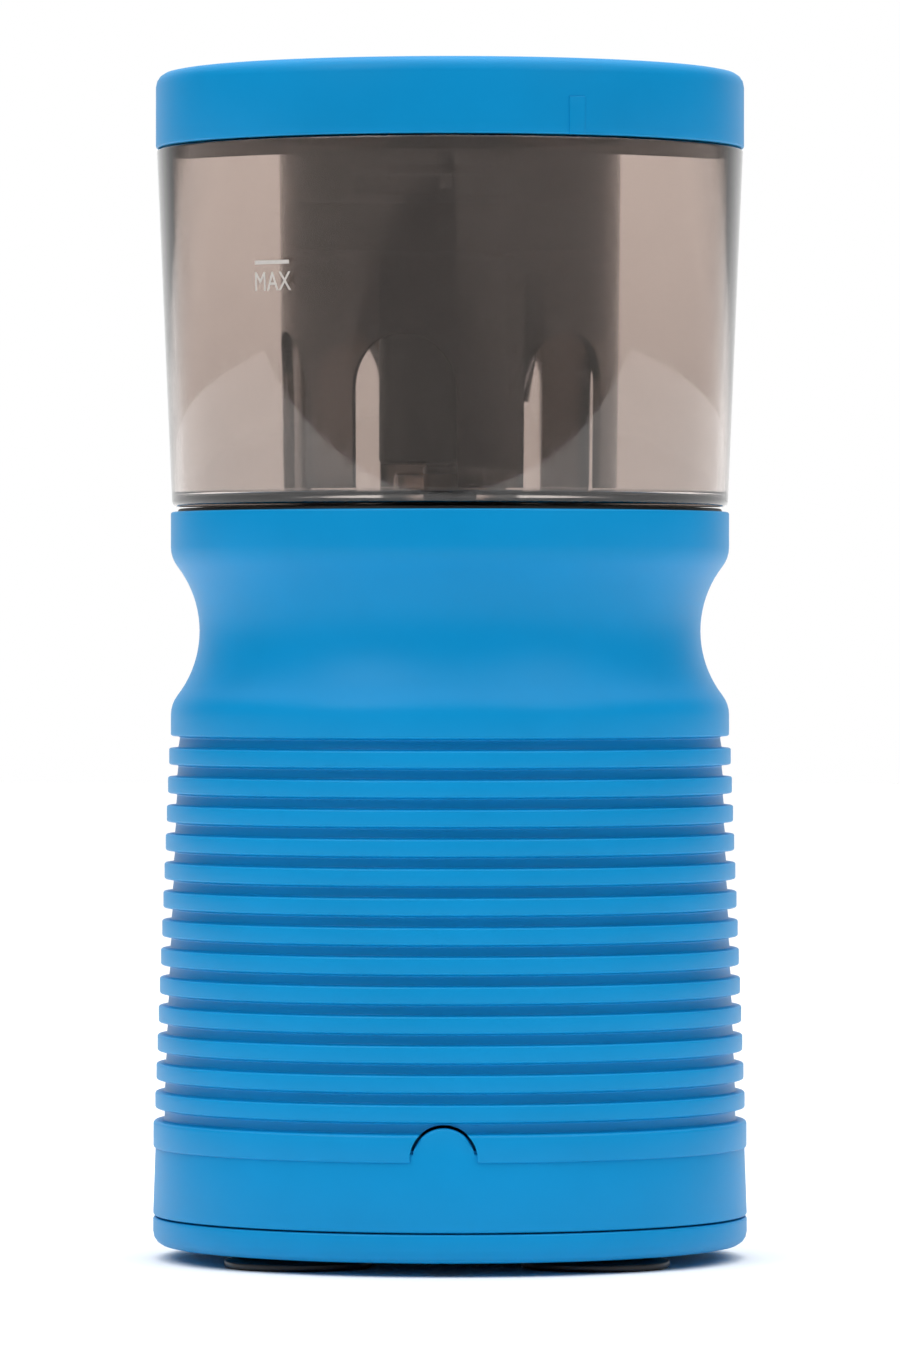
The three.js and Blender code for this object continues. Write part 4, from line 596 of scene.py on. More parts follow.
def machined_metal(name, value, pitch_mm, roughness):
    """Bar metal turned or ground in a machine: bright, with rings of tool marks up its length. The
    real marks are 0.05 mm apart, drawn as far apart as pitch_mm says, to show."""
    material, tree, place = new_finish(name)
    marks = add_node(tree, "ShaderNodeTexWave",
                     {"Vector": place, "Scale": per(pitch_mm) / math.tau, "Distortion": 1.5,
                      "Detail": 2, "Detail Scale": 2}, bands_direction="Z")
    clouds = add_node(tree, "ShaderNodeTexNoise", {"Vector": place, "Scale": per(4), "Detail": 4})
    tone = add_node(tree, "ShaderNodeValToRGB", {"Fac": clouds.outputs["Fac"]},
                    stops=(shade(value, 0.86), shade(value, 1.08)))
    gloss = add_node(tree, "ShaderNodeMapRange", {
        "Value": clouds.outputs["Fac"], "To Min": roughness - 0.06, "To Max": roughness + 0.1})
    relief = add_node(tree, "ShaderNodeBump",
                      {"Height": marks.outputs["Fac"], "Strength": 0.2, "Distance": 0.03 * MM})
    shader = add_node(tree, "ShaderNodeBsdfPrincipled", {
        "Base Color": tone.outputs["Color"], "Roughness": gloss.outputs["Result"], "Metallic": 1.0,
        "Normal": relief.outputs["Normal"]})
    add_node(tree, "ShaderNodeOutputMaterial", {"Surface": shader.outputs["BSDF"]})
    return material


def lacquered_winding(value):
    """Enamelled copper wire, wound, under lacquer: orange-brown ridges as wide as the 0.6 mm wire,
    with painted shade that darkens the colour between the turns."""
    material, tree, place = new_finish("lacquered_copper_winding")
    turns = add_node(tree, "ShaderNodeTexWave",
                     {"Vector": place, "Scale": per(0.6) / math.tau, "Distortion": 3, "Detail": 1},
                     bands_direction="Z")
    # painted shade: the ramp darkens the colour to about a third between the turns of wire, where
    # shade falls
    tone = add_node(tree, "ShaderNodeValToRGB", {"Fac": turns.outputs["Fac"]},
                    stops=(shade(value, 0.35), shade(value, 1.1)))
    relief = add_node(tree, "ShaderNodeBump",
                      {"Height": turns.outputs["Fac"], "Strength": 0.6, "Distance": 0.2 * MM})
    shader = add_node(tree, "ShaderNodeBsdfPrincipled", {
        "Base Color": tone.outputs["Color"], "Roughness": 0.35, "Metallic": 0.6,
        "Coat Weight": 0.6, "Normal": relief.outputs["Normal"]})
    add_node(tree, "ShaderNodeOutputMaterial", {"Surface": shader.outputs["BSDF"]})
    return material


def solder_mask(value):
    """Glass-epoxy board under green solder mask: tracks about 1.2 mm wide show through it as
    lighter lines, with the weave of the glass behind them."""
    material, tree, place = new_finish("solder_masked_board")
    tracks = add_node(tree, "ShaderNodeTexBrick", {
        "Vector": place, "Scale": per(9), "Mortar Size": 0.06, "Color1": shade(value, 0.8),
        "Color2": shade(value, 1.0), "Mortar": shade(value, 2.2)})
    weave = add_node(tree, "ShaderNodeTexChecker", {"Vector": place, "Scale": per(0.5)})
    relief = add_node(tree, "ShaderNodeBump",
                      {"Height": weave.outputs["Fac"], "Strength": 0.1, "Distance": 0.02 * MM})
    shader = add_node(tree, "ShaderNodeBsdfPrincipled", {
        "Base Color": tracks.outputs["Color"], "Roughness": 0.3, "IOR": 1.55,
        "Normal": relief.outputs["Normal"]})
    add_node(tree, "ShaderNodeOutputMaterial", {"Surface": shader.outputs["BSDF"]})
    return material


def printed_ink(value):
    """Pad-printed ink, a few hundredths of a millimetre thick: flat, pale and a little uneven where
    the pad left less of it."""
    material, tree, place = new_finish("pad_printed_ink")
    patches = add_node(tree, "ShaderNodeTexNoise",
                       {"Vector": place, "Scale": per(0.7), "Detail": 3})
    tone = add_node(tree, "ShaderNodeValToRGB", {"Fac": patches.outputs["Fac"]},
                    stops=(shade(value, 0.88), shade(value, 1.05)))
    shader = add_node(tree, "ShaderNodeBsdfPrincipled",
                      {"Base Color": tone.outputs["Color"], "Roughness": 0.55, "IOR": 1.5})
    add_node(tree, "ShaderNodeOutputMaterial", {"Surface": shader.outputs["BSDF"]})
    return material


def matt_board(value):
    """Coated card of a studio sweep: matt and even, with a faint mottle."""
    material, tree, place = new_finish("matt_card_floor")
    mottle = add_node(tree, "ShaderNodeTexNoise", {"Vector": place, "Scale": per(60), "Detail": 3})
    tone = add_node(tree, "ShaderNodeValToRGB", {"Fac": mottle.outputs["Fac"]},
                    stops=(shade(value, 0.985), shade(value, 1.0)))
    shader = add_node(tree, "ShaderNodeBsdfPrincipled",
                      {"Base Color": tone.outputs["Color"], "Roughness": 0.8})
    add_node(tree, "ShaderNodeOutputMaterial", {"Surface": shader.outputs["BSDF"]})
    return material


FINISHES = {
    "casing": lambda c: moulded_abs(c.casing),
    "bin": lambda c: smoked_styrene("smoked_clear_styrene", c.bin_tint, 1.0, 0.03),
    "guard": lambda c: smoked_styrene("dark_smoked_styrene", c.guard_tint, 0.9, 0.09),
    "black": lambda c: moulded_nylon("moulded_black_nylon", c.black, 0.48),
    "acetal": lambda c: moulded_nylon("moulded_acetal", c.acetal, 0.4),
    "rubber": lambda c: soft_pvc(c.rubber),
    "steel": lambda c: zinc_plate(c.steel),
    "tool_steel": lambda c: machined_metal("ground_tool_steel", c.tool_steel, 0.5, 0.24),
    "brass": lambda c: machined_metal("machined_brass", c.brass, 0.4, 0.26),
    "copper": lambda c: lacquered_winding(c.copper),
    "board": lambda c: solder_mask(c.board),
    "ink": lambda c: printed_ink(c.ink),
    "floor": lambda c: matt_board(c.floor),
}
MADE = {}


def finish(name):
    """One material for each finish, made when it is first asked for."""
    if name not in MADE:
        MADE[name] = FINISHES[name](bpy.context.scene.sharpener_colours)
    return MADE[name]


# ---- Operators, from the feet up -----------------------------------------------------------------


def sizes():
    """The sizes that the user can change."""
    return bpy.context.scene.sharpener_sizes


class SHARPENER_OT_bottom_cover(bpy.types.Operator):
    """Bottom cover: a rounded dish with pockets for the cups and counterbores for the screws"""

    bl_idname = "sharpener.bottom_cover"
    bl_label = "Bottom Cover"

    def execute(self, context):
        s = sizes()
        low, radius = bottom("bottom_cover"), radius_of("bottom_cover")
        floor = low + s.cover_floor
        rim = low + s.cover_height
        cover = turned("cover_moulding", [
            (0, low), (radius, low, s.cover_corner), (radius, rim, s.edge),
            (radius - s.wall, rim, s.edge), (radius - 2 * s.wall, floor, s.edge), (0, floor)])
        for corner in range(1, 5):
            cup = middle_of(f"suction_cup_{corner}")
            pocket = round_bar(s.pocket_radius, (cup.x, cup.y, low - s.wall),
                               (cup.x, cup.y, low + s.pocket_depth))
            neck = round_bar(s.cup_neck + s.gap, (cup.x, cup.y, low),
                             (cup.x, cup.y, floor + s.wall))
            screw = middle_of(f"cover_screw_{corner}")
            seat = round_bar(radius_of(f"cover_screw_{corner}") + s.gap,
                             (screw.x, screw.y, low - s.wall), (screw.x, screw.y, floor - s.gap))
            hole = round_bar(s.screw_shank + s.gap, (screw.x, screw.y, low),
                             (screw.x, screw.y, floor + s.wall))
            carve(cover, pocket, neck, seat, hole)
        placed(cover, "root", finish("casing"), "blue_plastic", "bottom_cover")
        return {"FINISHED"}


class SHARPENER_OT_suction_cups(bpy.types.Operator):
    """Suction cups: a soft disc on a neck, with a thin lip that grips the table"""

    bl_idname = "sharpener.suction_cups"
    bl_label = "Suction Cups"

    def execute(self, context):
        s = sizes()
        radius, crown = radius_of("suction_cup_1"), top("suction_cup_1")
        button = crown - s.button_height
        neck = bottom("bottom_cover") + s.pocket_depth - s.gap
        cup = turned("soft_cup", [
            (0, s.cup_hollow), (0.55 * radius, 0.66 * s.cup_hollow, 4 * MM),
            (radius - 1.4 * MM, 0.0, 0.15 * MM), (radius, 0, FINE), (radius, s.cup_lip, SLIGHT),
            (s.pocket_radius - 1.2 * MM, s.cup_lip + 0.9 * MM, 1.5 * MM),
            (0.5 * s.pocket_radius, neck - 0.8 * MM, 1.5 * MM), (s.cup_neck, neck, CRISP),
            (s.cup_neck, button), (s.cup_neck + 1.7 * MM, button, SLIGHT),
            (s.cup_neck + 0.6 * MM, crown, BLUNT), (0, crown)], steps=72)
        for corner in range(1, 5):
            place = middle_of(f"suction_cup_{corner}")
            twin = copied(cup, f"suction_cup_piece_{corner}", move=(place.x, place.y, 0))
            placed(twin, "root", finish("rubber"), "cup_rubber", f"suction_cup_{corner}")
        bpy.data.objects.remove(cup)
        return {"FINISHED"}


def socket_screw(name, head, shank, low, head_height, crown):
    """A pan-head screw with its head at the bottom and a hexagon socket in it."""
    screw = turned(name, [
        (0, low), (head, low, 0.9 * MM), (head, low + head_height, CRISP),
        (shank, low + head_height), (shank, crown - 1.0 * MM), (0.5 * shank, crown), (0, crown)],
        steps=SMALL_STEPS)
    socket = round_bar(0.42 * head, (0, 0, low - head_height), (0, 0, low + 0.55 * head_height), 6)
    return carve(screw, socket)


class SHARPENER_OT_screws(bpy.types.Operator):
    """Screws: four that hold the bottom cover, and two under the lid that hold the guard"""

    bl_idname = "sharpener.screws"
    bl_label = "Screws"

    def execute(self, context):
        s = sizes()
        for kind, count, body in (("cover_screw", 4, "root"), ("guard_screw", 2, "lid")):
            node = f"{kind}_1"
            screw = socket_screw(kind, radius_of(node), s.screw_shank, bottom(node), s.screw_head,
                                top(node))
            for number in range(1, count + 1):
                place = middle_of(f"{kind}_{number}")
                twin = copied(screw, f"{kind}_piece_{number}", move=(place.x, place.y, 0))
                placed(twin, body, finish("steel"), "zinc_plated_steel", f"{kind}_{number}")
            bpy.data.objects.remove(screw)
        return {"FINISHED"}


class SHARPENER_OT_base_ring(bpy.types.Operator):
    """Base ring: a band with a stepped lip, and a half-round key tab that stands up at the front"""

    bl_idname = "sharpener.base_ring"
    bl_label = "Base Ring"

    def execute(self, context):
        s = sizes()
        low, foot = bottom("base_ring"), radius_of("base_ring")
        shoulder, radius = low + s.ring_height, foot - s.ring_draft
        lip = shoulder + s.ring_lip
        ring = turned("ring_moulding", [
            (radius - s.ring_wall, low, s.edge), (foot, low, s.edge), (radius, shoulder, s.edge),
            (radius - s.ring_step, shoulder, 0.15 * MM), (radius - s.ring_step, lip, 0.15 * MM),
            (radius - s.ring_wall, lip, 0.15 * MM)], closed=True)
        middle = shoulder + s.tab_rise - s.tab_radius
        disc = round_bar(s.tab_radius, (0, -foot - MM, middle),
                         (0, s.tab_thickness - radius, middle))
        core = round_bar(radius, (0, 0, low), (0, 0, shoulder + 2 * s.tab_rise), TURN_STEPS)
        carve(disc, core, operation="INTERSECT")
        soften(disc, s.edge, lambda ends: all(
            p.z > shoulder + MM and math.hypot(p.x, p.y) > radius - ON_CURVE
            and math.hypot(p.x, p.z - middle) > s.tab_radius - ON_CURVE for p in ends))
        carve(ring, disc, operation="UNION")
        placed(ring, "root", finish("casing"), "blue_plastic", "base_ring")
        return {"FINISHED"}


def waist_profile(radius, low, high, depth, blend, steps=20):
    """A hollow that is one arc, with a round at each end where it meets the smooth wall.
    The points go up, on the outside of the wall."""
    hollow = ((high - low) ** 2 / 4 + depth ** 2) / (2 * depth)
    middle, offset = (low + high) / 2, hollow - depth
    rise = math.sqrt((hollow + blend) ** 2 - (offset + blend) ** 2)
    turn = math.atan2(rise, offset + blend)
    first = arc_points((radius - blend, middle - rise), blend, 0, turn, 4)
    hollow_arc = arc_points((radius + offset, middle), hollow, math.pi + turn, math.pi - turn,
                            steps)
    last = arc_points((radius - blend, middle + rise), blend, -turn, 0, 4)
    return first + hollow_arc[1:-1] + last


class SHARPENER_OT_body_shell(bpy.types.Operator):
    """Body: one moulding with a thick band, grip ribs, a hollow waist, and a spigot at its foot"""

    bl_idname = "sharpener.body_shell"
    bl_label = "Body Shell"

    def execute(self, context):
        s = sizes()
        foot = bottom("body_shell") + s.spigot_length
        crown = top("body_shell")
        band = radius_of("body_shell")
        spigot = radius_of("base_ring") - s.ring_draft - s.ring_wall - 0.4 * MM
        grip, band_top = band - s.band_step, foot + s.band_height
        groove = s.rib_pitch - s.rib_height
        profile = [(spigot, foot), (band, foot, s.edge), (band, band_top, 0.7 * MM),
                   (grip - s.rib_depth, band_top + s.rib_slope, s.rib_root)]
        for rib in range(s.rib_count):
            low = band_top + groove + rib * s.rib_pitch
            face = grip - rib * s.grip_flare
            profile += [
                (face - s.rib_depth, low - s.rib_slope, s.rib_root), (face, low, s.rib_round),
                (face, low + s.rib_height, s.rib_round),
                (face - s.rib_depth, low + s.rib_height + s.rib_slope, s.rib_root)]
        collar = band_top + s.rib_count * s.rib_pitch + groove
        waist_low = collar + s.collar_height
        waist_high = waist_low + s.waist_height
        wall = s.body_radius - s.wall
        seat = radius_of("seat_plate") + s.gap
        ledge = bottom("seat_plate") - s.gap
        grip_wall = wall - s.rib_depth
        profile += [(s.body_radius - s.rib_depth, collar - s.rib_slope, s.rib_root),
                    (s.body_radius, collar, s.rib_round)]
        profile += waist_profile(s.body_radius, waist_low, waist_high, s.waist_depth, s.waist_blend)
        profile += [(s.body_radius, crown, s.edge), (seat, crown, CRISP), (seat, ledge),
                    (wall, ledge)]
        inside = waist_profile(wall, waist_low, waist_high, s.waist_depth, s.waist_blend)
        profile += [(min(r, wall), z) for r, z in reversed(inside)]
        profile += [(grip_wall, waist_low - 4 * MM), (grip_wall, collar),
                    (spigot - s.spigot_wall, band_top),
                    (spigot - s.spigot_wall, foot - s.spigot_length),
                    (spigot, foot - s.spigot_length)]
        shell = turned("body_moulding", profile, closed=True)

        middle = top("base_ring") - s.tab_radius
        notch = s.tab_radius + s.tab_clearance
        carve(shell, round_bar(notch, (0, -band - MM, middle), (0, s.wall - spigot, middle)))
        half = math.sqrt(notch ** 2 - (foot - middle) ** 2)
        soften(shell, 0.5 * MM, lambda ends: all(
            abs(abs(p.x) - half) < 0.1 * MM and abs(p.z - foot) < 0.05 * MM and p.y < 0
            for p in ends))

        jack = middle_of("power_jack").z
        face = grip - s.pad_step
        pad = round_bar(s.pad_radius, (0, face - 5 * MM, jack), (0, face, jack))
        soften(pad, 0.6 * MM, level_with(1, face))
        carve(shell, pad, operation="UNION")
        carve(shell, round_bar(s.jack_radius + s.gap, (0, face - 12 * MM, jack),
                               (0, face + 5 * MM, jack)))
        placed(shell, "root", finish("casing"), "blue_plastic", "body_shell")
        return {"FINISHED"}


class SHARPENER_OT_power_inlet(bpy.types.Operator):
    """Power inlet: a black socket with a contact pin, in the pad at the back of the body"""

    bl_idname = "sharpener.power_inlet"
    bl_label = "Power Inlet"

    def execute(self, context):
        s = sizes()
        low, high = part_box("power_jack")
        middle = (low.z + high.z) / 2
        shoulder = low.y + s.jack_block
        half = (high.x - low.x) / 2
        block = square_bar((2 * half, s.jack_block, 2 * half),
                           (0, low.y + s.jack_block / 2, middle),
                           bevel=0.6 * MM)
        barrel = round_bar(s.jack_radius, (0, shoulder - MM, middle), (0, high.y, middle))
        soften(barrel, 0.4 * MM, level_with(1, high.y))
        carve(block, barrel, operation="UNION")
        carve(block, round_bar(s.jack_bore, (0, high.y - 8 * MM, middle), (0, high.y + MM, middle)))
        placed(settled(block, "inlet_socket"), "root", finish("black"), "black_plastic",
               "power_jack")
        pin = turned("inlet_pin",
                     [(0, 0), (0.9 * MM, 0), (0.9 * MM, 7.4 * MM, BLUNT), (0, 7.4 * MM)],
                     steps=24)
        pin.matrix_world = Matrix.Translation((0, high.y - 8.1 * MM, middle)) \
            @ Matrix.Rotation(-math.pi / 2, 4, "X")
        placed(settled(pin, "inlet_contact_pin"), "root", finish("steel"), "black_plastic")
        return {"FINISHED"}


class SHARPENER_OT_seat(bpy.types.Operator):
    """Seat under the bin: the plate, the brass bushing, the hexagon spindle, the rod that feels the
    pencil's tip, and the pin that feels whether the bin is on"""

    bl_idname = "sharpener.seat"
    bl_label = "Seat and Spindle"

    def execute(self, context):
        s = sizes()
        low, crown, radius = bottom("seat_plate"), top("seat_plate"), radius_of("seat_plate")
        plate_top = crown - s.seat_thickness
        pin = middle_of("interlock_pin")
        bush_low, bush_top = bottom("spindle_bushing"), top("spindle_bushing")
        bush = radius_of("spindle_bushing") - 2 * MM
        plate = turned("seat_moulding", [
            (bush + s.gap, plate_top), (radius, plate_top, s.edge), (radius, crown, s.edge),
            (radius - 3 * MM, crown, FINE), (radius - 3.8 * MM, crown - 0.5 * MM, FINE),
            (radius - 4.6 * MM, crown, FINE), (bush + s.gap, crown, CRISP)], closed=True)
        for number in range(1, 4):
            post = middle_of(f"gearbox_post_{number}")
            leg = round_bar(3.2 * MM, (post.x, post.y, low), (post.x, post.y, plate_top + MM))
            carve(plate, leg, operation="UNION")
        carve(plate, round_bar(2.35 * MM, (pin.x, pin.y, low), (pin.x, pin.y, crown + MM)))
        placed(plate, "root", finish("black"), "black_plastic", "seat_plate")

        spindle_radius = radius_of("drive_spindle")
        bore = spindle_radius + 0.35 * MM
        plate_foot = bush_low + 2.8 * MM
        bushing = turned("brass_bushing", [
            (bore, bush_low, FINE), (bush, bush_low, FINE), (bush, plate_foot),
            (bush + 2 * MM, plate_foot), (bush + 2 * MM, plate_top - s.gap),
            (bush, plate_top - s.gap),
            (bush, bush_top, EASED), (bore, bush_top, FINE)], closed=True, steps=96)
        placed(bushing, "root", finish("brass"), "brass", "spindle_bushing")

        foot, head = bottom("drive_spindle"), top("drive_spindle")
        shoulder = head - s.hexagon_length
        spindle = turned("spindle_bar", [
            (0, foot), (spindle_radius, foot, FINE), (spindle_radius, shoulder, FINE),
            (0, shoulder)], steps=96)
        hexagon = round_bar(spindle_radius, (0, 0, shoulder - MM), (0, 0, head), 6)
        soften(hexagon, 0.5 * MM, level_with(2, head))
        carve(spindle, hexagon, operation="UNION")
        carve(spindle, round_bar(FEELER_BORE, (0, 0, foot - MM), (0, 0, head + MM)))
        placed(spindle, "spindle", finish("steel"), "zinc_plated_steel", "drive_spindle")

        rod_low, rod_top, rod = bottom("push_rod"), top("push_rod"), radius_of("push_rod")
        feeler = turned("feeler_rod", [
            (0, rod_low), (rod, rod_low, CRISP), (rod, rod_top - 1.1 * MM, FINE),
            (0.5 * rod, rod_top, FINE), (0, rod_top)], steps=SMALL_STEPS)
        placed(feeler, "start_rod", finish("steel"), "zinc_plated_steel", "push_rod")

        pin_low, pin_top = bottom("interlock_pin"), top("interlock_pin")
        collar, stem = radius_of("interlock_pin"), 2.0 * MM
        collar_top = pin_top - 7.27 * MM
        button = turned("interlock_button", [
            (0, pin_low), (stem, pin_low, CRISP), (stem, collar_top - 1.2 * MM),
            (collar, collar_top - 1.2 * MM, CRISP), (collar, collar_top, CRISP),
            (stem, collar_top), (stem, pin_top, EASED), (0, pin_top)], steps=SMALL_STEPS)
        button.matrix_world = Matrix.Translation((pin.x, pin.y, 0))
        placed(settled(button, "interlock_button"), "interlock", finish("acetal"), "gear_plastic",
               "interlock_pin")
        return {"FINISHED"}


class SHARPENER_OT_shavings_bin(bpy.types.Operator):
    """Shavings bin: a flared clear tub with a thick rounded foot and a collar in its middle"""

    bl_idname = "sharpener.shavings_bin"
    bl_label = "Shavings Bin"

    def execute(self, context):
        s = sizes()
        low, rim, wide = bottom("shavings_bin"), top("shavings_bin"), radius_of("shavings_bin")
        foot, floor = wide - s.bin_flare, low + s.bin_floor
        bore, collar_top = s.collar_radius - s.collar_wall, floor + s.bin_collar_height
        tub = turned("clear_tub", [
            (bore, low, FINE), (foot, low, 1.2 * MM), (wide, rim, SLIGHT),
            (wide - s.bin_wall, rim, SLIGHT), (foot - s.bin_wall, floor, 1.4 * MM),
            (s.collar_radius, floor, BLUNT), (s.collar_radius, collar_top, EASED),
            (bore, collar_top, EASED)], closed=True, steps=2 * TURN_STEPS)
        placed(tub, "bin", finish("bin"), "smoked_clear_plastic", "shavings_bin")
        return {"FINISHED"}


def wrapped(piece, radius_at, place):
    """Bends a flat mark in the XZ plane round the bin, its middle at an angle from the front.
    The mark's depth in Y stays its depth in the wall's own direction."""
    for vertex in piece.data.vertices:
        x, y, z = vertex.co
        radius = radius_at(z) - y
        turn = place + x / radius_at(z)
        vertex.co = (radius * math.sin(turn), -radius * math.cos(turn), z)
    return piece


class SHARPENER_OT_fill_mark(bpy.types.Operator):
    """Fill mark: a short bar with the word MAX under it, printed on the front left of the bin"""

    bl_idname = "sharpener.fill_mark"
    bl_label = "Fill Mark"

    def execute(self, context):
        s = sizes()
        low, rim, wide = bottom("shavings_bin"), top("shavings_bin"), radius_of("shavings_bin")

        def wall_at(height):
            return wide - s.bin_flare * (rim - height) / (rim - low)

        line = low + s.mark_height
        bar = square_bar((s.mark_line, s.mark_ink, s.mark_bar), (0, 0, line))
        activate(bar)
        bpy.ops.object.mode_set(mode="EDIT")
        bpy.ops.mesh.select_all(action="SELECT")
        bpy.ops.mesh.subdivide(number_cuts=7)
        bpy.ops.object.mode_set(mode="OBJECT")
        placed(settled(wrapped(bar, wall_at, s.mark_angle), "fill_line"), "bin", finish("ink"),
               "smoked_clear_plastic")

        deselect_all()
        bpy.ops.object.text_add()
        letters = bpy.context.object
        letters.data.body = "MAX"
        letters.data.align_x = "CENTER"
        letters.data.size = s.mark_size / 0.72
        letters.data.space_character = 1.05
        letters.data.extrude = s.mark_ink / 2
        bpy.ops.object.convert(target="MESH")
        letters.matrix_world = Matrix.Translation((0, 0, line - s.mark_gap - s.mark_size)) \
            @ Matrix.Rotation(math.pi / 2, 4, "X") @ Matrix.Diagonal((s.mark_width, 1, 1, 1))
        settled(letters, "fill_letters")
        placed(settled(wrapped(letters, wall_at, s.mark_angle), "fill_letters"), "bin",
               finish("ink"), "smoked_clear_plastic")
        return {"FINISHED"}


class SHARPENER_OT_lid_cap(bpy.types.Operator):
    """Lid: a cap with a well-rounded upper edge, bosses inside, and an index mark on its skirt"""

    bl_idname = "sharpener.lid_cap"
    bl_label = "Lid Cap"

    def execute(self, context):
        s = sizes()
        low, crown = bottom("lid_cap"), top("lid_cap")
        radius = radius_of("shavings_bin") + s.lid_step
        ceiling = crown - s.lid_top
        lid = turned("cap_moulding", [
            (0, ceiling), (radius - s.wall, ceiling, MM), (radius - s.wall, low, s.edge),
            (radius, low, s.edge), (radius, crown, s.lid_corner), (0, crown)])
        mark = square_bar((s.index_width, s.index_proud + MM, s.index_height),
                          (0, (MM - s.index_proud) / 2 - radius, low + s.index_height / 2),
                          bevel=0.15 * MM, turn=s.index_angle)
        carve(lid, mark, operation="UNION")
        for number in (1, 2):
            place = middle_of(f"guard_screw_{number}")
            boss = round_bar(s.boss_radius, (place.x, place.y, top("cutter_guard") + s.gap),
                             (place.x, place.y, ceiling + MM))
            carve(lid, boss, operation="UNION")
            carve(lid, round_bar(s.screw_shank + s.gap, (place.x, place.y, low - MM),
                                 (place.x, place.y, ceiling - 1.5 * MM)))
        flange, flange_low = radius_of("pencil_port"), crown - s.port_flange
        carve(lid, round_bar(s.port_body + s.gap, (0, 0, ceiling - MM), (0, 0, crown + MM), 96),
              round_bar(flange + s.gap, (0, 0, flange_low - s.gap), (0, 0, crown + MM), 96))
        placed(lid, "lid", finish("casing"), "blue_plastic", "lid_cap")
        return {"FINISHED"}


class SHARPENER_OT_pencil_port(bpy.types.Operator):
    """Pencil port: a black funnel, flush with the lid, that guides the pencil to the cutter"""

    bl_idname = "sharpener.pencil_port"
    bl_label = "Pencil Port"

    def execute(self, context):
        s = sizes()
        low, crown, flange = bottom("pencil_port"), top("pencil_port"), radius_of("pencil_port")
        bore, mouth, middle = s.port_bore / 2, s.port_mouth / 2, (bottom("pencil_port") + crown) / 2
        funnel = turned("port_moulding", [
            (bore, low, FINE), (s.port_body, low, SLIGHT), (s.port_body, crown - s.port_flange),
            (flange, crown - s.port_flange, CRISP), (flange, crown, FINE),
            (mouth + 0.6 * MM, crown, 0.8 * MM), (bore + 0.8 * MM, middle, 2.5 * MM),
            (bore, middle - MM, BLUNT)], closed=True)
        placed(funnel, "lid", finish("black"), "black_plastic", "pencil_port")
        return {"FINISHED"}


class SHARPENER_OT_cutter_guard(bpy.types.Operator):
    """Guard: a dark see-through column with arches at its foot, hung from a flange that closes the
    bin, with a rib at its front"""

    bl_idname = "sharpener.cutter_guard"
    bl_label = "Cutter Guard"

    def execute(self, context):
        s = sizes()
        low, crown = bottom("cutter_guard"), top("cutter_guard")
        spigot = radius_of("cutter_guard")
        flange = crown - s.guard_flange
        gear, gear_top = radius_of("ring_gear"), top("ring_gear")
        wide = gear + 0.6 * MM + s.guard_wall
        narrow = wide - s.guard_taper
        bearing = s.bearing_radius
        shoulder = gear_top + s.gap
        column = turned("guard_column", [
            (narrow - s.guard_wall, low, FINE), (narrow, low, FINE), (wide, flange, BLUNT),
            (spigot - s.guard_wall, flange), (spigot - s.guard_wall, crown - s.guard_spigot, FINE),
            (spigot, crown - s.guard_spigot, SLIGHT), (spigot, crown, FINE),
            (bearing, crown, FINE), (bearing, crown - BEARING_DEPTH, FINE),
            (bearing + BEARING_WALL, crown - BEARING_DEPTH, FINE), (bearing + BEARING_WALL, flange),
            (wide - s.guard_wall, flange), (wide - s.guard_wall, shoulder + 2 * MM),
            (gear - 1.4 * MM, shoulder + 2 * MM), (gear - 1.4 * MM, shoulder),
            (gear + s.gap, shoulder), (gear + s.gap, bottom("ring_gear") - 2 * MM)],
            closed=True, steps=2 * TURN_STEPS)
        rib = square_bar((s.slot_width, 1.7 * MM, s.slot_length + MM),
                         (0, -wide + 0.15 * MM, flange - (s.slot_length - MM) / 2), bevel=0.3 * MM)
        carve(column, rib, operation="UNION")
        radius, springing = s.arch_width / 2, low + s.arch_height - s.arch_width / 2
        for arch in range(s.arch_count):
            turn = s.arch_angle + math.tau * arch / s.arch_count
            inside, outside = around(narrow / 2, turn), around(wide + 4 * MM, turn)
            head = round_bar(radius, (*inside, springing), (*outside, springing), 64)
            foot = square_bar((s.arch_width, wide + 4 * MM - narrow / 2, springing - low + MM),
                              (0, -(wide + 4 * MM + narrow / 2) / 2, (springing + low - MM) / 2),
                              turn=turn)
            carve(column, head, foot)
        for number in (1, 2):
            place = middle_of(f"guard_screw_{number}")
            carve(column, round_bar(s.screw_shank + s.gap, (place.x, place.y, flange - MM),
                                    (place.x, place.y, crown + MM)))
        placed(column, "lid", finish("guard"), "smoked_dark_plastic", "cutter_guard")
        return {"FINISHED"}


CUTTER_JOINT = next(j for j in frame["record"]["behaviour"]["joints"] if j["name"] == "cutter_spin")
TIP = CUTTER_JOINT["pos_m"]    # on the pin's axis, as high as the tip of the pencil
LEAN = math.atan2(CUTTER_JOINT["axis"][0], CUTTER_JOINT["axis"][2])


def leaned(piece, name):
    """Moves a piece made round the upright axis onto the leaning pin."""
    piece.matrix_world = Matrix.Translation(TIP) @ Matrix.Rotation(LEAN, 4, "Y")
    return settled(piece, name)


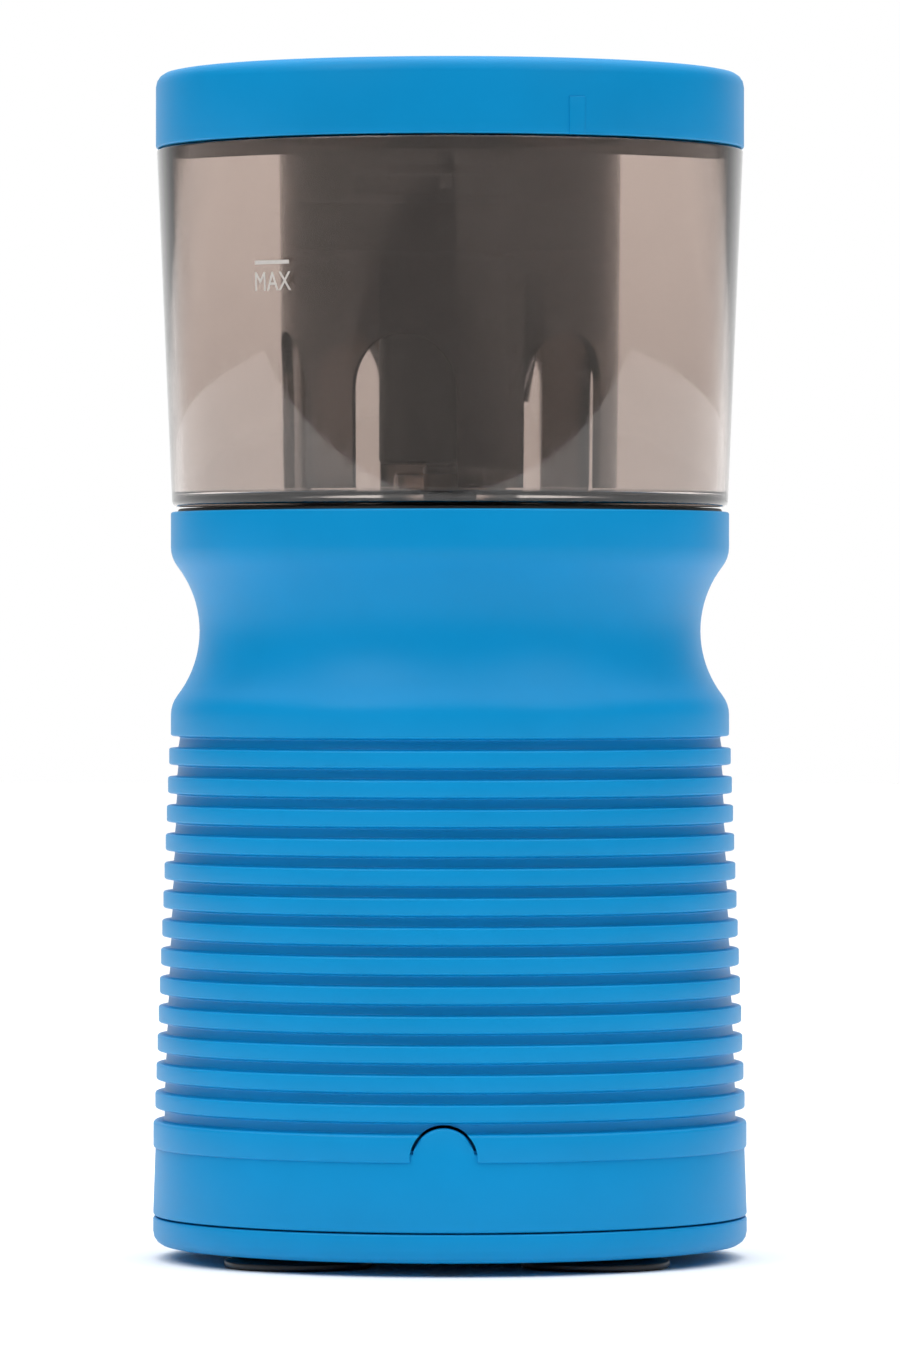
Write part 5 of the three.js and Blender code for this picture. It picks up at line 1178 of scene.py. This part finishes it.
class SHARPENER_OT_cutter_carrier(bpy.types.Operator):
    """Carrier: the dark hub that turns round the pencil and holds the leaning cutter, with the
    steel ring that keeps it in the guard"""

    bl_idname = "sharpener.cutter_carrier"
    bl_label = "Cutter Carrier"

    def execute(self, context):
        s = sizes()
        low, crown, lug = bottom("cutter_carrier"), top("cutter_carrier"), s.lug_radius
        hub_top, lug_low = low + s.hub_length, crown - s.journal_length - s.lug_height
        lug_top = lug_low + s.lug_height
        hub = turned("carrier_moulding", [
            (0, low), (s.hub_radius, low, MM), (s.hub_radius, hub_top, 0.8 * MM),
            (s.neck_radius, hub_top, BLUNT), (s.neck_radius, lug_low, BLUNT),
            (lug, lug_low, EASED), (lug, lug_top, EASED), (s.journal_radius, lug_top, FINE),
            (s.journal_radius, crown, EASED), (0, crown)])
        tip, bore = TIP[2], s.pencil_bore / 2
        cone = bore / math.tan(LEAN)
        way = turned("pencil_way", [
            (0, tip), (bore, tip + cone), (bore, crown - 1.5 * MM, MM),
            (bore + 1.5 * MM, crown + MM),
            (0, crown + MM)])
        socket = round_bar(HEXAGON_ROOM, (0, 0, low - MM), (0, 0, low + HEXAGON_DEPTH), 6)
        feeler = round_bar(FEELER_BORE, (0, 0, low), (0, 0, tip + MM))
        room, end = s.cutter_radius + 0.7 * MM, s.cutter_length - MM
        cutter_room = leaned(round_bar(room, (0, 0, -1.5 * MM), (0, 0, end + 0.5 * MM), 96), "room")
        gear_room = leaned(round_bar(s.pinion_room, (0, 0, end), (0, 0, end + 8.3 * MM), 96),
                           "room")
        pin_hole = leaned(round_bar(PIN_HOLE, (0, 0, -4.4 * MM), (0, 0, 37.9 * MM)), "room")
        carve(hub, way, socket, feeler, cutter_room, gear_room, pin_hole)
        placed(hub, "cutter_head", finish("black"), "black_plastic", "cutter_carrier")

        ring_low, ring_top = bottom("carrier_retainer"), top("carrier_retainer")
        outer, inner = radius_of("carrier_retainer"), s.journal_radius + s.gap
        ring = turned("retaining_ring", [
            (inner, ring_low, CRISP), (outer, ring_low, FINE), (outer, ring_top, FINE),
            (inner, ring_top, CRISP)], closed=True)
        placed(ring, "cutter_head", finish("steel"), "zinc_plated_steel", "carrier_retainer")

        pin = leaned(turned("ground_pin", [
            (0, PIN_FOOT), (PIN_RADIUS, PIN_FOOT, SLIGHT), (PIN_RADIUS, PIN_HEAD, SLIGHT),
            (0, PIN_HEAD)], steps=SMALL_STEPS), "cutter_axle")
        placed(pin, "cutter_head", finish("tool_steel"), "hardened_steel", "cutter_pin")
        return {"FINISHED"}


class SHARPENER_OT_milling_cutter(bpy.types.Operator):
    """Milling cutter: a steel cylinder with raked flutes that wind round it"""

    bl_idname = "sharpener.milling_cutter"
    bl_label = "Milling Cutter"

    def execute(self, context):
        s = sizes()
        tooth = math.tau / s.cutter_flutes
        root = s.cutter_radius - s.flute_depth
        deselect_all()
        bpy.ops.mesh.primitive_circle_add(vertices=6 * s.cutter_flutes, radius=s.cutter_radius,
                                          fill_type="NGON", location=(0, 0, -MM))
        cutter = bpy.context.object
        heights = (1.0, 1.0, 0.97, 0.6, 0.15, 0.0)
        for vertex in cutter.data.vertices:
            turn = math.atan2(vertex.co.y, vertex.co.x) % tooth / tooth
            share = heights[round(turn * 6) % 6]
            vertex.co *= (root + share * s.flute_depth) / s.cutter_radius
        bpy.ops.object.mode_set(mode="EDIT")
        bpy.ops.mesh.select_all(action="SELECT")
        for _ in range(CUTTER_SLICES):
            bpy.ops.mesh.extrude_region_move(
                TRANSFORM_OT_translate={"value": (0, 0, s.cutter_length / CUTTER_SLICES)})
            bpy.ops.transform.rotate(value=-s.cutter_twist / CUTTER_SLICES, orient_axis="Z",
                                     center_override=(0, 0, 0))
        bpy.ops.mesh.select_all(action="SELECT")
        bpy.ops.mesh.normals_make_consistent(inside=False)
        bpy.ops.object.mode_set(mode="OBJECT")
        settled(cutter, "fluted_cutter")
        carve(cutter, round_bar(CUTTER_BORE, (0, 0, -3 * MM), (0, 0, s.cutter_length + 2 * MM)))
        placed(leaned(cutter, "fluted_cutter"), "cutter", finish("tool_steel"), "hardened_steel",
               "helical_cutter")
        return {"FINISHED"}


class SHARPENER_OT_drive_finishes(bpy.types.Operator):
    """Finishes of the gears, gearbox, motor, switches and board, which keep the shapes they have"""

    bl_idname = "sharpener.drive_finishes"
    bl_label = "Drive Finishes"

    def execute(self, context):
        kept = {
            "acetal": ["ring_gear", "output_gear", "intermediate_gear"],
            "brass": ["cutter_pinion", "motor_pinion"],
            "steel": ["gearbox_upper_plate", "gearbox_lower_plate", "gearbox_post_1",
                      "gearbox_post_2", "gearbox_post_3", "intermediate_axle", "interlock_spring",
                      "motor_can", "motor_screw_1", "motor_screw_2"],
            "tool_steel": ["motor_shaft"],
            "black": ["start_switch", "interlock_switch", "motor_end_bell"],
            "copper": ["motor_armature"],
            "board": ["circuit_board"],
        }
        for name, nodes in kept.items():
            for node in nodes:
                refinished(node, finish(name))
        return {"FINISHED"}


def softbox(name, place, target, size, watts):
    """A square area light that points at a place."""
    deselect_all()
    bpy.ops.object.light_add(type="AREA", location=place)
    lamp = bpy.context.object
    lamp.name = name
    lamp.data.shape = "RECTANGLE"
    lamp.data.size = lamp.data.size_y = size
    lamp.data.energy = watts
    lamp.rotation_euler = (Vector(target) - Vector(place)).to_track_quat("-Z", "Y").to_euler()
    return lamp


class SHARPENER_OT_stage(bpy.types.Operator):
    """Stage: a pale floor, a surround, soft lights and the camera. The camera sees the surround
    white. To all else it is bright behind and above, and dim in front, so that the clear bin stays
    dark"""

    bl_idname = "sharpener.stage"
    bl_label = "Stage"

    def execute(self, context):
        s = context.scene.sharpener_stage
        scene = context.scene
        deselect_all()
        bpy.ops.mesh.primitive_plane_add(size=6.0, location=(0, 2.4, -0.2 * MM))
        floor = settled(context.object, "floor")
        floor.data.materials.append(finish("floor"))

        world = bpy.data.worlds.new("white_surround")
        scene.world = world
        world.use_nodes = True
        tree = world.node_tree
        tree.nodes.clear()
        axes = add_node(tree, "ShaderNodeSeparateXYZ", {
            "Vector": add_node(tree, "ShaderNodeTexCoord").outputs["Generated"]})
        behind = add_node(tree, "ShaderNodeMapRange", {
            "Value": axes.outputs["Y"], "From Min": 0.6, "From Max": 0.95,
            "To Min": s.front, "To Max": s.surround}, interpolation_type="SMOOTHSTEP")
        above = add_node(tree, "ShaderNodeMapRange", {
            "Value": axes.outputs["Z"], "From Min": 0.4, "From Max": 0.8,
            "To Min": 0.0, "To Max": s.overhead}, interpolation_type="SMOOTHSTEP")
        level = add_node(tree, "ShaderNodeMath", {
            0: behind.outputs["Result"], 1: above.outputs["Result"]}, operation="MAXIMUM")
        backdrop = add_node(tree, "ShaderNodeLightPath").outputs["Is Camera Ray"]
        seen = add_node(tree, "ShaderNodeMath", {0: backdrop, 1: level.outputs["Value"]},
                        operation="MAXIMUM")
        surround = add_node(tree, "ShaderNodeBackground",
                            {"Color": (1, 1, 1, 1), "Strength": seen.outputs["Value"]})
        add_node(tree, "ShaderNodeOutputWorld", {"Surface": surround.outputs["Background"]})
        middle = (0, 0, 0.11)
        for name, place, size, watts in (("key_softbox", (-0.8, -0.9, 1.15), 0.8, s.key),
                                         ("fill_softbox", (0.9, -0.8, 1.05), 0.8, s.fill),
                                         ("top_softbox", (0, 0.1, 1.3), 1.0, s.top)):
            softbox(name, place, middle, size, watts)

        swing, distance = s.camera_swing, s.camera_distance
        bpy.ops.object.camera_add(
            location=(distance * math.sin(swing), -distance * math.cos(swing), s.camera_height),
            rotation=(math.pi / 2, 0, swing))
        camera = context.object
        camera.data.lens = s.lens
        camera.data.shift_y = s.camera_shift
        camera.data.clip_end = 20
        scene.camera = camera
        scene.view_settings.view_transform = "Standard"
        return {"FINISHED"}


# ---- Panel, and what runs it ---------------------------------------------------------------------


class SharpenerStage(bpy.types.PropertyGroup):
    """Lights and camera."""

    surround: bpy.props.FloatProperty(name="Surround", description="Brightness behind the part",
                                      default=1.0, min=0)
    front: bpy.props.FloatProperty(name="Front", description="Brightness in front and at the sides",
                                   default=0.1, min=0)
    overhead: bpy.props.FloatProperty(name="Overhead", description="Brightness above the part",
                                      default=1.6, min=0)
    key: bpy.props.FloatProperty(name="Key", description="Light at the front left", default=5.0,
                                 min=0, unit="POWER")
    fill: bpy.props.FloatProperty(name="Fill", description="Light at the front right", default=3.0,
                                  min=0, unit="POWER")
    top: bpy.props.FloatProperty(name="Top", description="Light above", default=6.0, min=0,
                                 unit="POWER")
    camera_distance: length("Camera Distance", "From the axis to the camera", 1690)
    camera_height: length("Camera Height", "Height of the camera", 117.2)
    camera_swing: angle("Camera Swing", "Camera's place, to the right of the front", 1.2)
    camera_shift: bpy.props.FloatProperty(name="Camera Shift", description="Rise of the view",
                                          default=-0.0293)
    lens: bpy.props.FloatProperty(name="Lens", description="Focal length, in millimetres",
                                  default=239, min=1)


PIECES = (SHARPENER_OT_bottom_cover, SHARPENER_OT_suction_cups, SHARPENER_OT_screws,
          SHARPENER_OT_base_ring, SHARPENER_OT_body_shell, SHARPENER_OT_power_inlet,
          SHARPENER_OT_seat, SHARPENER_OT_shavings_bin, SHARPENER_OT_fill_mark,
          SHARPENER_OT_lid_cap, SHARPENER_OT_pencil_port, SHARPENER_OT_cutter_guard,
          SHARPENER_OT_cutter_carrier, SHARPENER_OT_milling_cutter, SHARPENER_OT_drive_finishes,
          SHARPENER_OT_stage)


class SHARPENER_PT_sidebar(bpy.types.Panel):
    """Lists the pieces in the order they are made, with the sizes and colours they use"""

    bl_idname = "SHARPENER_PT_sidebar"
    bl_label = "Sharpener"
    bl_space_type = "VIEW_3D"
    bl_region_type = "UI"
    bl_category = "Sharpener"

    def draw(self, context):
        layout = self.layout
        for piece in PIECES:
            layout.operator(piece.bl_idname)
        for group in ("sharpener_sizes", "sharpener_colours", "sharpener_stage"):
            box = layout.box()
            settings = getattr(context.scene, group)
            for name in settings.__annotations__:
                box.prop(settings, name)


CLASSES = (SharpenerSizes, SharpenerColours, SharpenerStage, *PIECES, SHARPENER_PT_sidebar)


def register():
    """Registers the classes and hangs the settings on the scene."""
    for kind in CLASSES:
        bpy.utils.register_class(kind)
    bpy.types.Scene.sharpener_sizes = bpy.props.PointerProperty(type=SharpenerSizes)
    bpy.types.Scene.sharpener_colours = bpy.props.PointerProperty(type=SharpenerColours)
    bpy.types.Scene.sharpener_stage = bpy.props.PointerProperty(type=SharpenerStage)


def unregister():
    """Takes the settings and the classes away again."""
    del bpy.types.Scene.sharpener_sizes
    del bpy.types.Scene.sharpener_colours
    del bpy.types.Scene.sharpener_stage
    for kind in reversed(CLASSES):
        bpy.utils.unregister_class(kind)


def main():
    """Makes every piece and the stage."""
    register()
    for piece in PIECES:
        group, name = piece.bl_idname.split(".")
        getattr(getattr(bpy.ops, group), name)()
    bpy.context.view_layer.update()


if __name__ == "__main__":
    main()
